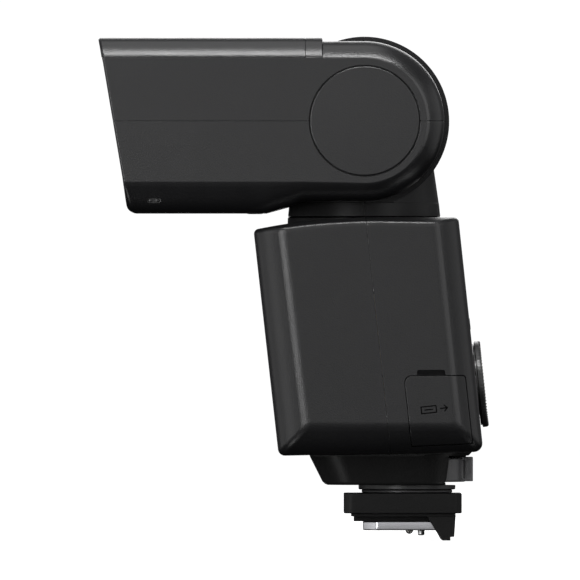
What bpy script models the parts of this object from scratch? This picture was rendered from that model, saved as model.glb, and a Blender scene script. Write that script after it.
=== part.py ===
"""Shoe-mounted speedlight flash, as an assembly of separate solids.

Frame: +Z up, the lamp head points along -Y, the control panel faces +Y and
X runs across the width. The origin is the centre of the metal foot plate's
bottom face. All sizes below are in millimetres; MM turns them into metres.
"""

import math

import bmesh
import bpy
from mathutils import Matrix, Vector

MM = 0.001
SEAM = 0.1  # gap along a parting line between two fixed shells
FIT = 0.3  # gap between pieces that move or that sit in a pocket

# Hinge axes of the swivel and the tilt
PAN_Y = -8.8
TILT_Z = 93.5

# Lamp head, measured from the tilt axis
HEAD_HALF = 34.0
HEAD_TOP = 19.0
HEAD_BOTTOM = -20.9
HEAD_CREASE_TOP = 14.5
HEAD_CREASE_BOTTOM = -14.0
HEAD_FRONT_Y = -60.75  # front edge at the top
HEAD_SLANT = 9.6  # lean of the front face in degrees
HEAD_EDGE = 5.5  # depth of the rounded edge across the width
CHEEK_R = 18.2
CHEEK_CREASE_R = 14.3
RAMP_Y = -22.4  # where the underside starts to rise towards the neck
NOTCH_Y = -9.7  # rear end of the head's raised top
HEAD_WALL = 1.7
COVER_REAR_Y = -13.5  # rear end of the top cover
BULKHEAD_Y = -22.5

# Drum and neck
DRUM_R = 19.4
DRUM_HALF = 15.7
SLOT_HALF = 16.0
NECK_R = 17.5
NECK_BOTTOM = -21.6
NECK_DISC_TOP = -19.0
NECK_HALF_Y = 17.3
TILT_MAX = 150.0
TILT_SHAFT_R = 8.0
CAP_R = 12.5

# Main housing, in a frame that leans with it
LEAN = 6.08
HOUSING_Y = -7.9
HOUSING_Z = 44.5
HOUSING_HALF = 34.7
HOUSING_EDGE = 7.0
HOUSING_WALL = 1.6
REAR_Y = 23.25  # rear face, along the leaning frame
FRONT_Y = -23.4
HOUSING_SEAM_Y = 2.2
HOUSING_FULL = (  # outline in the middle of the width: y, z, corner radius
    (-23.52, 26.9, 1.2),
    (-15.8, 27.5, 12.0),
    (-6.4, 27.5, 20.0),
    (2.1, 27.03, 20.0),
    (23.25, 24.78, 1.2),
    (23.25, -29.03, 2.0),
    (-23.27, -24.98, 1.6),
)
HOUSING_SIDE = (  # outline of the flat side face
    (-17.4, 26.5, 0.4),
    (-11.5, 26.6, 12.0),
    (-6.3, 26.5, 20.0),
    (2.1, 26.05, 20.0),
    (17.8, 24.1, 0.6),
    (17.9, -21.7, 1.6),
    (-16.7, -18.0, 1.2),
)

# Battery bay: four AA cells across the width
CELL_R = 7.1
CELL_LENGTH = 50.5
CELL_PITCH = 14.5
BAY_Y = -1.6
BAY_Z = -4.6
CELL_X = 2.0  # the cells sit this far from the middle, towards the contacts

# Controls on the rear face
WHEEL_Z = -13.7
WHEEL_R = 9.9
WHEEL_BORE_R = 4.7
WHEEL_TEETH = 40
BUTTON_ROW_Z = 0.3

# Hinge axis of the terminal cover, on its lower outer edge
TERMINAL_X = 32.6
TERMINAL_Z = -26.0

# Foot
LOCK_Y = 1.0  # axis of the lock ring
LOCK_R = 13.5
PLATE_HALF_X = 9.3
PLATE_HALF_Y = 9.1
PLATE_TOP = 2.0
BLOCK_TOP = 8.5
BLOCK_BOTTOM = 3.9
CONTACT_Y = 1.56
PIN_Y = 4.25


# ---------------------------------------------------------------- helpers


def clear_scene():
    for obj in list(bpy.data.objects):
        bpy.data.objects.remove(obj)


def paint(name, colour, roughness, metallic=0.0):
    material = bpy.data.materials.new(name)
    material.use_nodes = True
    shader = material.node_tree.nodes["Principled BSDF"]
    shader.inputs["Base Color"].default_value = (*colour, 1.0)
    shader.inputs["Roughness"].default_value = roughness
    shader.inputs["Metallic"].default_value = metallic
    return material


def lerp(a, b, share):
    return a + (b - a) * share


def arc(centre, radius, start, end, steps):
    """Points of an arc in a plane, angles in degrees."""
    angles = [math.radians(lerp(start, end, i / steps)) for i in range(steps + 1)]
    return [
        (centre[0] + radius * math.cos(a), centre[1] + radius * math.sin(a))
        for a in angles
    ]


def rounded(corners, steps=3):
    """A closed outline with each corner (u, v, radius) turned into an arc."""
    points = []
    count = len(corners)
    for i, (u, v, radius) in enumerate(corners):
        here = Vector((u, v))
        back = (Vector(corners[i - 1][:2]) - here).normalized()
        ahead = (Vector(corners[(i + 1) % count][:2]) - here).normalized()
        if radius <= 0:
            points.append((u, v))
            continue
        half = back.angle(ahead) / 2
        reach = radius / math.tan(half)
        centre = here + (back + ahead).normalized() * (radius / math.sin(half))
        first = here + back * reach - centre
        last = here + ahead * reach - centre
        turn = first.angle_signed(last)
        for k in range(steps + 1):
            spun = first.copy()
            spun.rotate(Matrix.Rotation(-turn * k / steps, 2))
            points.append(tuple(centre + spun))
    return points


def rectangle(u_low, v_low, u_high, v_high, radius=0.0, steps=3):
    corners = (
        (u_low, v_low, radius),
        (u_high, v_low, radius),
        (u_high, v_high, radius),
        (u_low, v_high, radius),
    )
    return rounded(corners, steps)


def in_space(axis, point, height):
    """A point of an outline that is extruded along an axis.

    Outlines across X hold (y, z), across Y hold (x, z), across Z hold (x, y).
    """
    u, v = point
    if axis == "X":
        return (height, u, v)
    if axis == "Y":
        return (u, height, v)
    return (u, v, height)


def solid(name, vertices, faces, parent=None, at=(0, 0, 0), material=None):
    """One closed mesh object, given in millimetres in its parent's frame."""
    mesh = bpy.data.meshes.new(name)
    mesh.from_pydata([Vector(p) * MM for p in vertices], [], faces)
    work = bmesh.new()
    work.from_mesh(mesh)
    bmesh.ops.recalc_face_normals(work, faces=work.faces)
    work.to_mesh(mesh)
    work.free()
    mesh.shade_smooth()
    mesh.set_sharp_from_angle(angle=math.radians(35))
    obj = bpy.data.objects.new(name, mesh)
    bpy.context.scene.collection.objects.link(obj)
    obj.parent = parent
    obj.location = Vector(at) * MM
    if material:
        mesh.materials.append(material)
    return obj


def loft(name, rings, **kept):
    """A closed solid through rings of equally many points, capped at both ends."""
    size = len(rings[0])
    vertices = [p for ring in rings for p in ring]
    faces = [list(range(size)), list(range(len(vertices) - size, len(vertices)))]
    for r in range(len(rings) - 1):
        for i in range(size):
            j = (i + 1) % size
            low, high = r * size, (r + 1) * size
            faces.append([low + i, low + j, high + j, high + i])
    return solid(name, vertices, faces, **kept)


def prism(name, outline, axis, low, high, **kept):
    rings = [[in_space(axis, p, h) for p in outline] for h in (low, high)]
    return loft(name, rings, **kept)


def box(name, low, high, **kept):
    outline = rectangle(low[0], low[1], high[0], high[1])
    return prism(name, outline, "Z", low[2], high[2], **kept)


def turned(name, profile, axis="Z", steps=24, centre=(0, 0, 0), **kept):
    """A solid of revolution. The profile is a closed list of (radius, height)."""
    turn = {
        "X": Matrix.Rotation(math.pi / 2, 3, "Y"),
        "Y": Matrix.Rotation(-math.pi / 2, 3, "X"),
        "Z": Matrix.Identity(3),
    }[axis]
    vertices, rows = [], []
    for radius, height in profile:
        row = []
        for k in range(steps if radius > 0 else 1):
            a = 2 * math.pi * k / steps
            spot = Vector((radius * math.cos(a), radius * math.sin(a), height))
            row.append(len(vertices))
            vertices.append(turn @ spot + Vector(centre))
        rows.append(row)
    faces = []
    for a, b in zip(rows, rows[1:] + rows[:1]):
        if len(a) == 1 and len(b) == 1:
            continue
        for k in range(steps):
            n = (k + 1) % steps
            if len(a) == 1:
                faces.append([a[0], b[k], b[n]])
            elif len(b) == 1:
                faces.append([a[k], b[0], a[n]])
            else:
                faces.append([a[k], b[k], b[n], a[n]])
    return solid(name, vertices, faces, **kept)


def rod(name, radius, low, high, **kept):
    return turned(name, ((0, low), (radius, low), (radius, high), (0, high)), **kept)


def ring(name, inner, outer, low, high, **kept):
    profile = ((inner, low), (outer, low), (outer, high), (inner, high))
    return turned(name, profile, **kept)


def boolean(target, operation, tools):
    """Adds Boolean modifiers; the tools become hidden helpers."""
    for tool in tools:
        modifier = target.modifiers.new(tool.name, "BOOLEAN")
        modifier.operation = operation
        modifier.object = tool
        tool.hide_render = True
        tool.display_type = "WIRE"


def cut(target, *tools):
    boolean(target, "DIFFERENCE", tools)
    return target


def keep(target, *tools):
    boolean(target, "INTERSECT", tools)
    return target


def join(target, *tools):
    boolean(target, "UNION", tools)
    return target


def frame(name, at, parent=None, turn_x=0.0):
    """An empty that holds a group of pieces or stands on a joint's axis."""
    empty = bpy.data.objects.new(name, None)
    bpy.context.scene.collection.objects.link(empty)
    empty.parent = parent
    empty.location = Vector(at) * MM
    empty.rotation_euler.x = math.radians(turn_x)
    return empty


def crease_curve(steps):
    """(inward, outward) shares along the curve from a side face's crease."""
    first = math.radians(30)
    curve = []
    for i in range(steps + 1):
        a = lerp(first, math.pi / 2, i / steps)
        inward = 1 - math.cos(a) / math.cos(first)
        outward = (math.sin(a) - math.sin(first)) / (1 - math.sin(first))
        curve.append((inward, outward))
    return curve


def across_width(name, outline, half, edge, steps=3, **kept):
    """A solid whose outline grows from both side faces to the full profile."""
    curve = crease_curve(steps)
    stations = [(half - edge * i, o) for i, o in curve]
    stations += [(-x, o) for x, o in reversed(stations)]
    rings = [[in_space("X", p, x) for p in outline(o)] for x, o in stations]
    return loft(name, rings, **kept)


# ------------------------------------------------------------- lamp head


def head_front(z):
    """The front face's y at a height above the tilt axis."""
    return HEAD_FRONT_Y + (HEAD_TOP - z) * math.tan(math.radians(HEAD_SLANT))


def head_outline(outward):
    """The head's profile: 0 is the flat side face, 1 the full profile."""
    top = lerp(HEAD_CREASE_TOP, HEAD_TOP, outward)
    bottom = lerp(HEAD_CREASE_BOTTOM, HEAD_BOTTOM, outward)
    rim = lerp(CHEEK_CREASE_R, CHEEK_R, outward)
    inset = lerp(0.4, 0.0, outward)
    corners = (
        (NOTCH_Y, top, 0),
        (head_front(top) + inset, top, 0.5),
        (head_front(bottom) + inset, bottom, lerp(0.5, 2.0, outward)),
        (RAMP_Y, bottom, 0),
        (-17.3, lerp(HEAD_CREASE_BOTTOM, -19.5, outward), 0),
        (-14.0, lerp(HEAD_CREASE_BOTTOM, -18.3, outward), 0),
    )
    points = rounded(corners, 2)
    points += arc((0, 0), rim, -95, 90, 14)
    points.append((NOTCH_Y + 0.2, rim))
    return points


def head_block(name, **kept):
    return across_width(name, head_outline, HEAD_HALF, HEAD_EDGE, **kept)


def cavity_outline(outward):
    top = lerp(HEAD_CREASE_TOP - 1.2, HEAD_TOP - HEAD_WALL, outward)
    bottom = lerp(HEAD_CREASE_BOTTOM + 1.2, HEAD_BOTTOM + HEAD_WALL, outward)
    return [
        (head_front(top) - 4, top),
        (head_front(bottom) - 4, bottom),
        (BULKHEAD_Y, bottom),
        (BULKHEAD_Y, top),
    ]


def slot_outline():
    """The room that the drum and neck need between the two cheeks."""
    clear = NECK_R + 0.25
    bore = DRUM_R + 0.35
    along = math.sqrt(bore**2 - clear**2)

    def corner(neck_angle, side, distance):
        a = math.radians(neck_angle)
        return (
            distance * math.cos(a) - side * clear * math.sin(a),
            distance * math.sin(a) + side * clear * math.cos(a),
        )

    down = -90
    up = TILT_MAX - 90
    low = corner(down, -1, along)
    high = corner(up, 1, along)
    start = math.degrees(math.atan2(low[1], low[0])) % 360
    end = math.degrees(math.atan2(high[1], high[0])) % 360
    points = [corner(down, -1, 25.0)]
    points += arc((0, 0), bore, start, end, 8)
    points += [corner(up, 1, 14.0), (30.0, 24.0), (30.0, -25.0)]
    return points


def head_cutters(tag, parent):
    """Tools that both head shells share: cavity, drum slot, bores, recesses."""
    kept = {"parent": parent}
    tools = [
        across_width(
            f"{tag}_cavity", cavity_outline, HEAD_HALF - HEAD_WALL, HEAD_EDGE, **kept
        ),
        prism(f"{tag}_slot", slot_outline(), "X", -SLOT_HALF, SLOT_HALF, **kept),
        rod(f"{tag}_bore", TILT_SHAFT_R + FIT, -31.5, 31.5, axis="X", **kept),
        rod(f"{tag}_detent", 11.4, 10.0, 18.4, axis="X", **kept),
    ]
    for side in (-1, 1):
        near, far = sorted((side * 32.4, side * 36.0))
        tools.append(
            rod(f"{tag}_recess_{side}", CAP_R + 0.15, near, far,
                axis="X", steps=32, **kept)
        )
        near, far = sorted((side * 18.0, side * 31.6))
        tools.append(
            box(f"{tag}_pocket_{side}", (near, -24.0, -12.5), (far, -11.5, 12.5), **kept)
        )
    return tools


def build_head(pivot, paints):
    plastic, clear = paints["head"], paints["lens"]
    upper = head_block("head_upper_shell", parent=pivot, material=plastic)
    keep(upper, box("upper_half", (-40, -70, 0.1), (40, 30, 30), parent=pivot))
    cut(
        upper,
        box("under_cover", (-40, -70, HEAD_CREASE_TOP - SEAM),
            (40, COVER_REAR_Y + SEAM, 30), parent=pivot),
        *head_cutters("upper", pivot),
    )

    lower = head_block("head_lower_shell", parent=pivot, material=plastic)
    keep(lower, box("lower_half", (-40, -70, -30), (40, 30, 0.0), parent=pivot))
    window = rectangle(-8.0, -27.7, 8.0, -22.4, 1.2, 2)
    cut(
        lower,
        prism("window_pocket", window, "Z", -22.0, -19.6, parent=pivot),
        *head_cutters("lower", pivot),
    )
    for side in (-1, 1):  # small recesses that hold a light modifier
        near, far = sorted((side * 31.2, side * 36.0))
        cut(lower, prism(f"modifier_recess_{side}",
                         rectangle(-49.7, -18.75, -46.3, -17.45, 0.6, 2), "X", near,
                         far, parent=pivot))

    cover = head_block("head_top_cover", parent=pivot, material=plastic)
    keep(cover, box("cover_part", (-40, -70, HEAD_CREASE_TOP),
                    (40, COVER_REAR_Y, 30), parent=pivot))
    cut(cover, box("panel_slots", (-30.0, -70, 13.0), (30.0, BULKHEAD_Y, 17.4),
                   parent=pivot))

    for side, word in ((1, "left"), (-1, "right")):
        profile = ((0, 0), (CAP_R, 0), (CAP_R, 1.2), (CAP_R - 0.3, 1.5), (0, 1.5))
        profile = [(r, side * (32.5 + h)) for r, h in profile]
        turned(f"hinge_cap_{word}", profile, axis="X", steps=32,
               parent=pivot, material=plastic)

    front = frame("front_face", (0, head_front(-3.0), -3.0), pivot, HEAD_SLANT)
    bezel = prism("lens_bezel", rounded(bezel_corners(31.8, -16.1, 14.9, 6.5, 1.0), 4),
                  "Y", 0.3, 2.4, parent=front, material=paints["gloss_black"])
    cut(bezel, prism("bezel_window", rounded(bezel_corners(28.4, -13.1, 12.2, 2, 2), 3),
                     "Y", -1, 4, parent=front))
    small = rounded(bezel_corners(28.2, -12.9, 12.0, 2, 2), 3)
    large = rounded(bezel_corners(29.8, -14.3, 13.4, 2, 2), 3)
    stations = ((0.8, small), (2.6, small), (2.6, large), (3.6, large))
    rings = [[in_space("Y", p, y) for p in outline] for y, outline in stations]
    loft("fresnel_lens", rings, parent=front, material=clear)

    box("card_tray", (-31.8, -55.5, 12.5), (31.8, -23.0, 13.5), parent=pivot,
        material=paints["inner"])

    dome = rectangle(-7.7, -27.4, 7.7, -22.7, 1.0, 2)
    rise = rectangle(-7.2, -26.9, 7.2, -23.2, 1.0, 2)
    rings = [
        [in_space("Z", p, z) for p in outline]
        for z, outline in ((-19.8, dome), (-20.8, dome), (-21.1, rise))
    ]
    loft("receiver_window", rings, parent=pivot, material=paints["gloss_black"])


def bezel_corners(half, low, high, low_radius, high_radius):
    return (
        (-half, low, low_radius),
        (half, low, low_radius),
        (half, high, high_radius),
        (-half, high, high_radius),
    )


def build_panels(pivot, paints):
    """The two sheets that slide out of the head's front."""
    sheets = (
        ("wide_panel", 14.1, 15.6, 27.0, 30.0, "lens"),
        ("bounce_card", 16.1, 17.0, 28.0, 33.0, "card"),
    )
    for name, low, high, half, length, slot in sheets:
        front = head_front(high) + 0.6
        carrier = frame(f"{name}_slide", (0, front, low), pivot)
        outline = rectangle(-half, 0, half, length, 1.5, 2)
        sheet = prism(name, outline, "Z", 0, high - low, parent=carrier,
                      material=paints[slot])
        grip = box(f"{name}_grip", (-6, 0.8, high - low - 0.25),
                   (6, 2.4, high - low + 1), parent=carrier)
        cut(sheet, grip)


def build_zoom(pivot, paints):
    """Flash tube, reflector and their carriage, with the motor and lead screw."""
    motor = rod("zoom_motor", 4.5, 0, 11.0, axis="Y", steps=16, parent=pivot,
                at=(24.0, -33.8, -12.5), material=paints["steel"])
    join(motor, rod("motor_boss", 1.8, -1.2, 0.5, axis="Y", steps=12, parent=pivot,
                    at=(24.0, -33.8, -12.5)))

    screw = frame("screw_axis", (24.0, -50.6, -12.5), pivot)
    rod("lead_screw", 1.0, 0, 15.2, axis="Y", steps=12, parent=screw,
        material=paints["steel"])

    slide = frame("zoom_slide", (0, -26.0, -3.0), pivot)
    carriage = box("zoom_carriage", (-26.5, -0.6, -10.5), (26.5, 1.4, 10.5),
                   parent=slide, material=paints["inner"])
    join(carriage,
         box("nut_arm", (23.2, -14.0, -4.2), (26.5, 1.0, -1.5), parent=slide),
         box("nut_block", (22.0, -14.0, -12.0), (26.4, -10.0, -2.5), parent=slide))
    cut(carriage,
        box("motor_clearance", (18.9, -9.7, -15.0), (29.0, 6.0, -4.5), parent=slide),
        rod("nut_bore", 1.3, -20, 5, axis="Y", steps=12, parent=slide,
            at=(24.0, 0, -9.5)))

    wall, depth, half = 0.8, 12.0, 18.0
    outer = [(-depth * s * s, 13.0 * s) for s in [i / 5 for i in range(-5, 6)]]
    inner = [(y - wall if abs(z) < 12.9 else y, z * (1 - wall / 12.0))
             for y, z in reversed(outer)]
    reflector = prism("reflector", [(y - 1.0, z) for y, z in outer + inner],
                      "X", -half, half, parent=slide, material=paints["mirror"])
    for side in (-1, 1):
        near, far = sorted((side * (half - 0.1), side * (half + 0.8)))
        end = prism(f"reflector_end_{side}", [(y - 1.0, z) for y, z in outer],
                    "X", near, far, parent=slide)
        join(reflector, end)
    cut(reflector, rod("tube_hole", 2.6, -30, 30, axis="X", steps=16, parent=slide,
                       at=(0, -5.4, 0)))
    rod("flash_tube", 2.2, -21.0, 21.0, axis="X", steps=16, parent=slide,
        at=(0, -5.4, 0), material=paints["glass"])


# ------------------------------------------------------------------ neck


def neck_block(name, pivot, front, material):
    """One half of the drum and neck, split across the hinge axes."""
    half = rod(name, DRUM_R, -DRUM_HALF, DRUM_HALF, axis="X", steps=40,
               parent=pivot, material=material)
    column = box(f"{name}_column", (-DRUM_HALF, -NECK_HALF_Y, NECK_DISC_TOP - 0.5),
                 (DRUM_HALF, NECK_HALF_Y, -3.0), parent=pivot)
    taper = ((0, -40.0), (NECK_R + 2.7, -40.0), (NECK_R - 2.8, -2.0), (0, -2.0))
    keep(column, turned(f"{name}_taper", taper, steps=40, parent=pivot))
    profile = ((0, NECK_BOTTOM), (NECK_R - 0.05, NECK_BOTTOM),
               (NECK_R - 0.35, NECK_DISC_TOP), (0, NECK_DISC_TOP))
    disc = turned(f"{name}_disc", profile, steps=40, parent=pivot)
    join(half, column, disc)
    low, high = (-30, -SEAM / 2) if front else (SEAM / 2, 30)
    keep(half, box(f"{name}_side", (-30, low, -30), (30, high, 30), parent=pivot))
    return cut(
        half,
        rod(f"{name}_hollow", 16.8, -13.4, 13.4, axis="X", steps=24, parent=pivot),
        rod(f"{name}_bore", TILT_SHAFT_R + 0.15, -20, 20, axis="X", parent=pivot),
        rod(f"{name}_wire_way", 7.15, -25, -12, parent=pivot),
        ring(f"{name}_lip_groove", 15.0, 16.6, -23, NECK_BOTTOM + 0.8, parent=pivot),
    )


def build_neck(pivot, paints):
    neck_block("neck_front_shell", pivot, True, paints["neck"])
    neck_block("neck_rear_shell", pivot, False, paints["neck"])
    ring("tilt_shaft", 6.0, TILT_SHAFT_R, -31.2, 31.2, axis="X", parent=pivot,
         material=paints["steel"])
    teeth = []
    for k in range(24):
        middle = 360 * k / 24
        teeth += arc((0, 0), 11.0, middle - 4, middle + 4, 1)
        teeth += arc((0, 0), 10.4, middle + 6, middle + 9, 1)
    detent = prism("tilt_detent", teeth, "X", 16.3, 18.0, parent=pivot,
                   material=paints["steel"])
    cut(detent, rod("detent_bore", TILT_SHAFT_R + 0.1, 10, 20, axis="X", parent=pivot))
    ring("swivel_tube", 5.2, 7.0, -28.0, -13.5, parent=pivot,
         material=paints["steel"])
    ring("swivel_retainer", 7.1, 9.0, -27.9, -26.8, parent=pivot,
         material=paints["steel"])
    harness = bpy.data.curves.new("wire_harness", "CURVE")
    harness.dimensions = "3D"
    harness.bevel_depth = 1.6 * MM
    harness.bevel_resolution = 1
    harness.use_fill_caps = True
    route = (
        (0, 0, -27.5), (0, 0.5, -20), (0, 1.0, -14), (1.5, 1.5, -11.5), (4, 1.0, -10.2),
        (8, 0.3, -9.9), (11.5, 0, -10.1),
    )
    spline = harness.splines.new("POLY")
    spline.points.add(len(route) - 1)
    for point, spot in zip(spline.points, route):
        point.co = (*(Vector(spot) * MM), 1)
    harness.materials.append(paints["rubber"])
    obj = bpy.data.objects.new("wire_harness", harness)
    bpy.context.scene.collection.objects.link(obj)
    obj.parent = pivot


# --------------------------------------------------------------- housing


def housing_outline(outward, inset=0.0):
    corners = []
    for side, full in zip(HOUSING_SIDE, HOUSING_FULL):
        y, z, radius = (lerp(a, b, outward) for a, b in zip(side, full))
        if abs(y) > 14:
            y -= math.copysign(inset, y)
        z -= math.copysign(inset, z)
        corners.append((y, z, max(radius - inset, 0.3)))
    return rounded(corners, 2)


def housing_block(name, inset=0.0, **kept):
    return across_width(name, lambda o: housing_outline(o, inset),
                        HOUSING_HALF - inset, HOUSING_EDGE, **kept)


def terminal_outline(grow):
    """The terminal cover seen from the side, in the leaning frame."""
    return rounded((
        (7.1 - grow, -9.9 + grow, 1.6),
        (7.1 - grow, -26.0 - grow, 0.3),
        (20.9 + grow, -26.8 - grow, 0.3),
        (20.9 + grow, -11.3 + grow, 0.8),
    ), 3)


def door_outline(grow):
    return rectangle(-16.1 - grow, -19.0 - grow, 13.0 + grow, 10.2 + grow, 1.5, 3)


def build_housing(lean, base, paints):
    plastic = paints["housing"]
    shells = {}
    for name, low, high in (
        ("body_front_shell", -40, HOUSING_SEAM_Y - SEAM / 2),
        ("body_rear_shell", HOUSING_SEAM_Y + SEAM / 2, 40),
    ):
        shell = housing_block(name, parent=lean, material=plastic)
        keep(shell, box(f"{name}_side", (-50, low, -50), (50, high, 50), parent=lean))
        cut(
            shell,
            housing_block(f"{name}_inside", HOUSING_WALL, parent=lean),
            rod(f"{name}_collar_hole", NECK_R + 0.15, 50, 90, steps=40, parent=base,
                at=(0, PAN_Y, 0)),
            prism(f"{name}_door_hole", door_outline(0.15), "X", -40, -30, parent=lean),
        )
        shells[name] = shell

    window = rectangle(-15, 6, 15, 17, 3, 3)
    cut(shells["body_front_shell"],
        prism("sensor_hole", window, "Y", -30, -15, parent=lean))
    prism("sensor_window", rectangle(-14.85, 6.15, 14.85, 16.85, 2.85, 3), "Y",
          FRONT_Y + 0.1, FRONT_Y + 2.0, parent=lean, material=paints["red_window"])

    rear = shells["body_rear_shell"]
    cut(rear,
        prism("terminal_hole", terminal_outline(0.15), "X", 24.0, 40, parent=lean),
        prism("nail_notch",
              rounded(((10.1, -11.2, 0), (16.5, -11.2, 0), (16.5, -9.5, 0.5),
                       (10.1, -8.85, 0.5)), 2), "X", 33.8, 40, parent=lean),
        prism("lcd_hole", rectangle(-20.15, 4.35, 20.15, 21.15, 1.2), "Y", 15, 30,
              parent=lean),
        rod("wheel_hole", 7.3, 15, 30, axis="Y", parent=lean, at=(0, 0, WHEEL_Z)),
        rod("wheel_seat", WHEEL_R + 0.5, REAR_Y - 0.5, 30, axis="Y", steps=32,
            parent=lean, at=(0, 0, WHEEL_Z)))
    for name, outline in button_outlines(0.2).items():
        cut(rear, prism(f"{name}_hole", outline, "Y", 15, 30, parent=lean))

    profile = ((7.4, 66.9), (18.8, 66.9), (18.8, 67.9), (NECK_R, 67.9),
               (NECK_R, 71.6), (16.3, 71.6), (16.3, 72.4), (15.3, 72.4),
               (15.3, 71.6), (7.4, 71.6))
    turned("swivel_collar", profile, steps=40, parent=base, at=(0, PAN_Y, 0),
           material=paints["neck"])


def button_outlines(grow):
    """Holes and buttons on the rear face, as (x, z) outlines."""
    row = BUTTON_ROW_Z
    return {
        "menu_button": rectangle(-21.5 - grow, row - 1.4 - grow, -12.5 + grow,
                                 row + 1.4 + grow, 1.0, 2),
        "back_button": rectangle(12.5 - grow, row - 1.4 - grow, 21.5 + grow,
                                 row + 1.4 + grow, 1.0, 2),
        "test_button": rectangle(15.0 - grow, -18.5 - grow, 22.0 + grow,
                                 -11.5 + grow, 3.3, 3),
        "power_switch": rectangle(-24.0 - grow, -17.0 - grow, -16.0 + grow,
                                  -13.0 + grow, 1.2, 2),
    }


def build_controls(lean, paints):
    rubber = paints["button"]
    for name in ("menu_button", "back_button", "test_button"):
        key = frame(f"{name}_slide", (0, REAR_Y, 0), lean)
        prism(name, button_outlines(0)[name], "Y", -2.4, 0.15, parent=key,
              material=rubber)
    key = frame("power_switch_slide", (0, REAR_Y, 0), lean)
    switch = prism("power_switch", rectangle(-23.9, -16.9, -20.0, -13.1, 1.1, 2), "Y",
                   -2.2, 0.0, parent=key, material=rubber)
    join(switch,
         box("switch_plate", (-27.0, -2.6, -17.9), (-15.5, -1.9, -12.1), parent=key),
         prism("switch_rib", rectangle(-22.6, -16.2, -21.3, -13.8, 0.4, 2),
               "Y", -0.5, 0.8, parent=key))

    hub = frame("wheel_axis", (0, REAR_Y, WHEEL_Z), lean)
    teeth = []
    for k in range(WHEEL_TEETH):
        middle = 360 * k / WHEEL_TEETH
        teeth += arc((0, 0), WHEEL_R, middle - 2, middle + 2, 1)
        teeth.append(arc((0, 0), WHEEL_R - 0.35, middle + 4.5, middle + 5, 1)[0])
    wheel = prism("control_wheel", teeth, "Y", 0.15, 2.1, parent=hub,
                  material=paints["gloss_black"])
    join(wheel, rod("wheel_hub", 7.0, -2.2, 1.5, axis="Y", parent=hub))
    cut(wheel, rod("wheel_bore", WHEEL_BORE_R, -5, 5, axis="Y", parent=hub),
        ring("wheel_dish", WHEEL_BORE_R - 1, WHEEL_R - 1.2, 1.8, 4, axis="Y", parent=hub))
    profile = ((0, -2.2), (WHEEL_BORE_R - 0.2, -2.2), (WHEEL_BORE_R - 0.2, 1.5),
               (WHEEL_BORE_R - 0.7, 2.0), (0, 2.1))
    turned("enter_button", profile, axis="Y", parent=hub, material=rubber)


def build_inside(lean, paints):
    """Board, screen, capacitor and cells."""
    box("control_board", (-27.0, 14.2, -19.0), (27.0, 15.4, 19.0), parent=lean,
        material=paints["board"])
    box("lcd_module", (-21.5, 16.5, 3.0), (21.5, 21.0, 20.0), parent=lean,
        material=paints["inner"])
    prism("lcd_window", rectangle(-20, 4.5, 20, 21, 1.1), "Y", 21.3, REAR_Y - 0.1,
          parent=lean, material=paints["gloss_black"])
    box("terminal_socket", (27.5, 9.5, -21.5), (31.5, 13.0, -12.5), parent=lean,
        material=paints["steel"])
    rod("main_capacitor", 6.4, -25.5, 25.5, axis="X", parent=lean,
        at=(0, -14.4, 17.3), material=paints["capacitor"])
    for k in range(4):
        column, row = k % 2, k // 2
        flip = -1 if (column + row) % 2 else 1
        profile = ((0, -CELL_LENGTH / 2), (CELL_R, -CELL_LENGTH / 2),
                   (CELL_R, CELL_LENGTH / 2 - 1.2), (2.7, CELL_LENGTH / 2 - 1.2),
                   (2.7, CELL_LENGTH / 2), (0, CELL_LENGTH / 2))
        profile = [(r, flip * h) for r, h in profile]
        turned(f"battery_cell_{k + 1}", profile, axis="X", steps=20, parent=lean,
               at=(-CELL_X, BAY_Y + (column - 0.5) * CELL_PITCH,
                   BAY_Z + (row - 0.5) * CELL_PITCH), material=paints["cell"])
    plate = box("battery_contacts", (24.2, -15.5, -18.5), (25.2, 12.3, 9.3),
                parent=lean, material=paints["brass"])
    for k in range(4):
        column, row = k % 2, k // 2
        spot = (0, BAY_Y + (column - 0.5) * CELL_PITCH,
                BAY_Z + (row - 0.5) * CELL_PITCH)
        join(plate, rod(f"contact_dimple_{k}", 2.5, 23.6, 24.7, axis="X", steps=12,
                        parent=lean, at=spot))


def build_covers(lean, paints):
    """The battery door with its latch, and the terminal cover."""
    hinge = frame("door_hinge", (-HOUSING_HALF, 13.0, 0), lean)
    door = prism("battery_door",
                 [(y - 13.0, z) for y, z in door_outline(0)], "X", 0.0, 1.6,
                 parent=hinge, material=paints["housing"])
    slot = rectangle(-28.3, -8.9, -20.7, -0.1, 1.0, 2)
    cut(door, prism("latch_slot", slot, "X", -1, 1.0, parent=hinge))
    latch = frame("latch_slide", (0.0, -28.0, -4.5), hinge)
    thumb = prism("door_latch", rectangle(0, -4.0, 5.0, 4.0, 0.8, 2), "X", 0.05, 0.9,
                  parent=latch, material=paints["button"])
    for k in range(3):
        join(thumb, box(f"latch_rib_{k}", (-0.25, 1.1 + 1.2 * k, -3.0),
                        (0.5, 1.6 + 1.2 * k, 3.0), parent=latch))

    hinge = frame("terminal_hinge", (TERMINAL_X, 0, TERMINAL_Z), lean)
    shift = (-TERMINAL_X, 0, -TERMINAL_Z)
    cover = housing_block("terminal_cover", parent=hinge, at=shift,
                          material=paints["housing"])
    cut(cover, housing_block("terminal_cover_inside", 1.3, parent=hinge, at=shift))
    keep(cover, prism("terminal_cover_edge", terminal_outline(0), "X", 25.0, 40,
                      parent=hinge, at=shift))


# ------------------------------------------------------------------ foot


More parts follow.
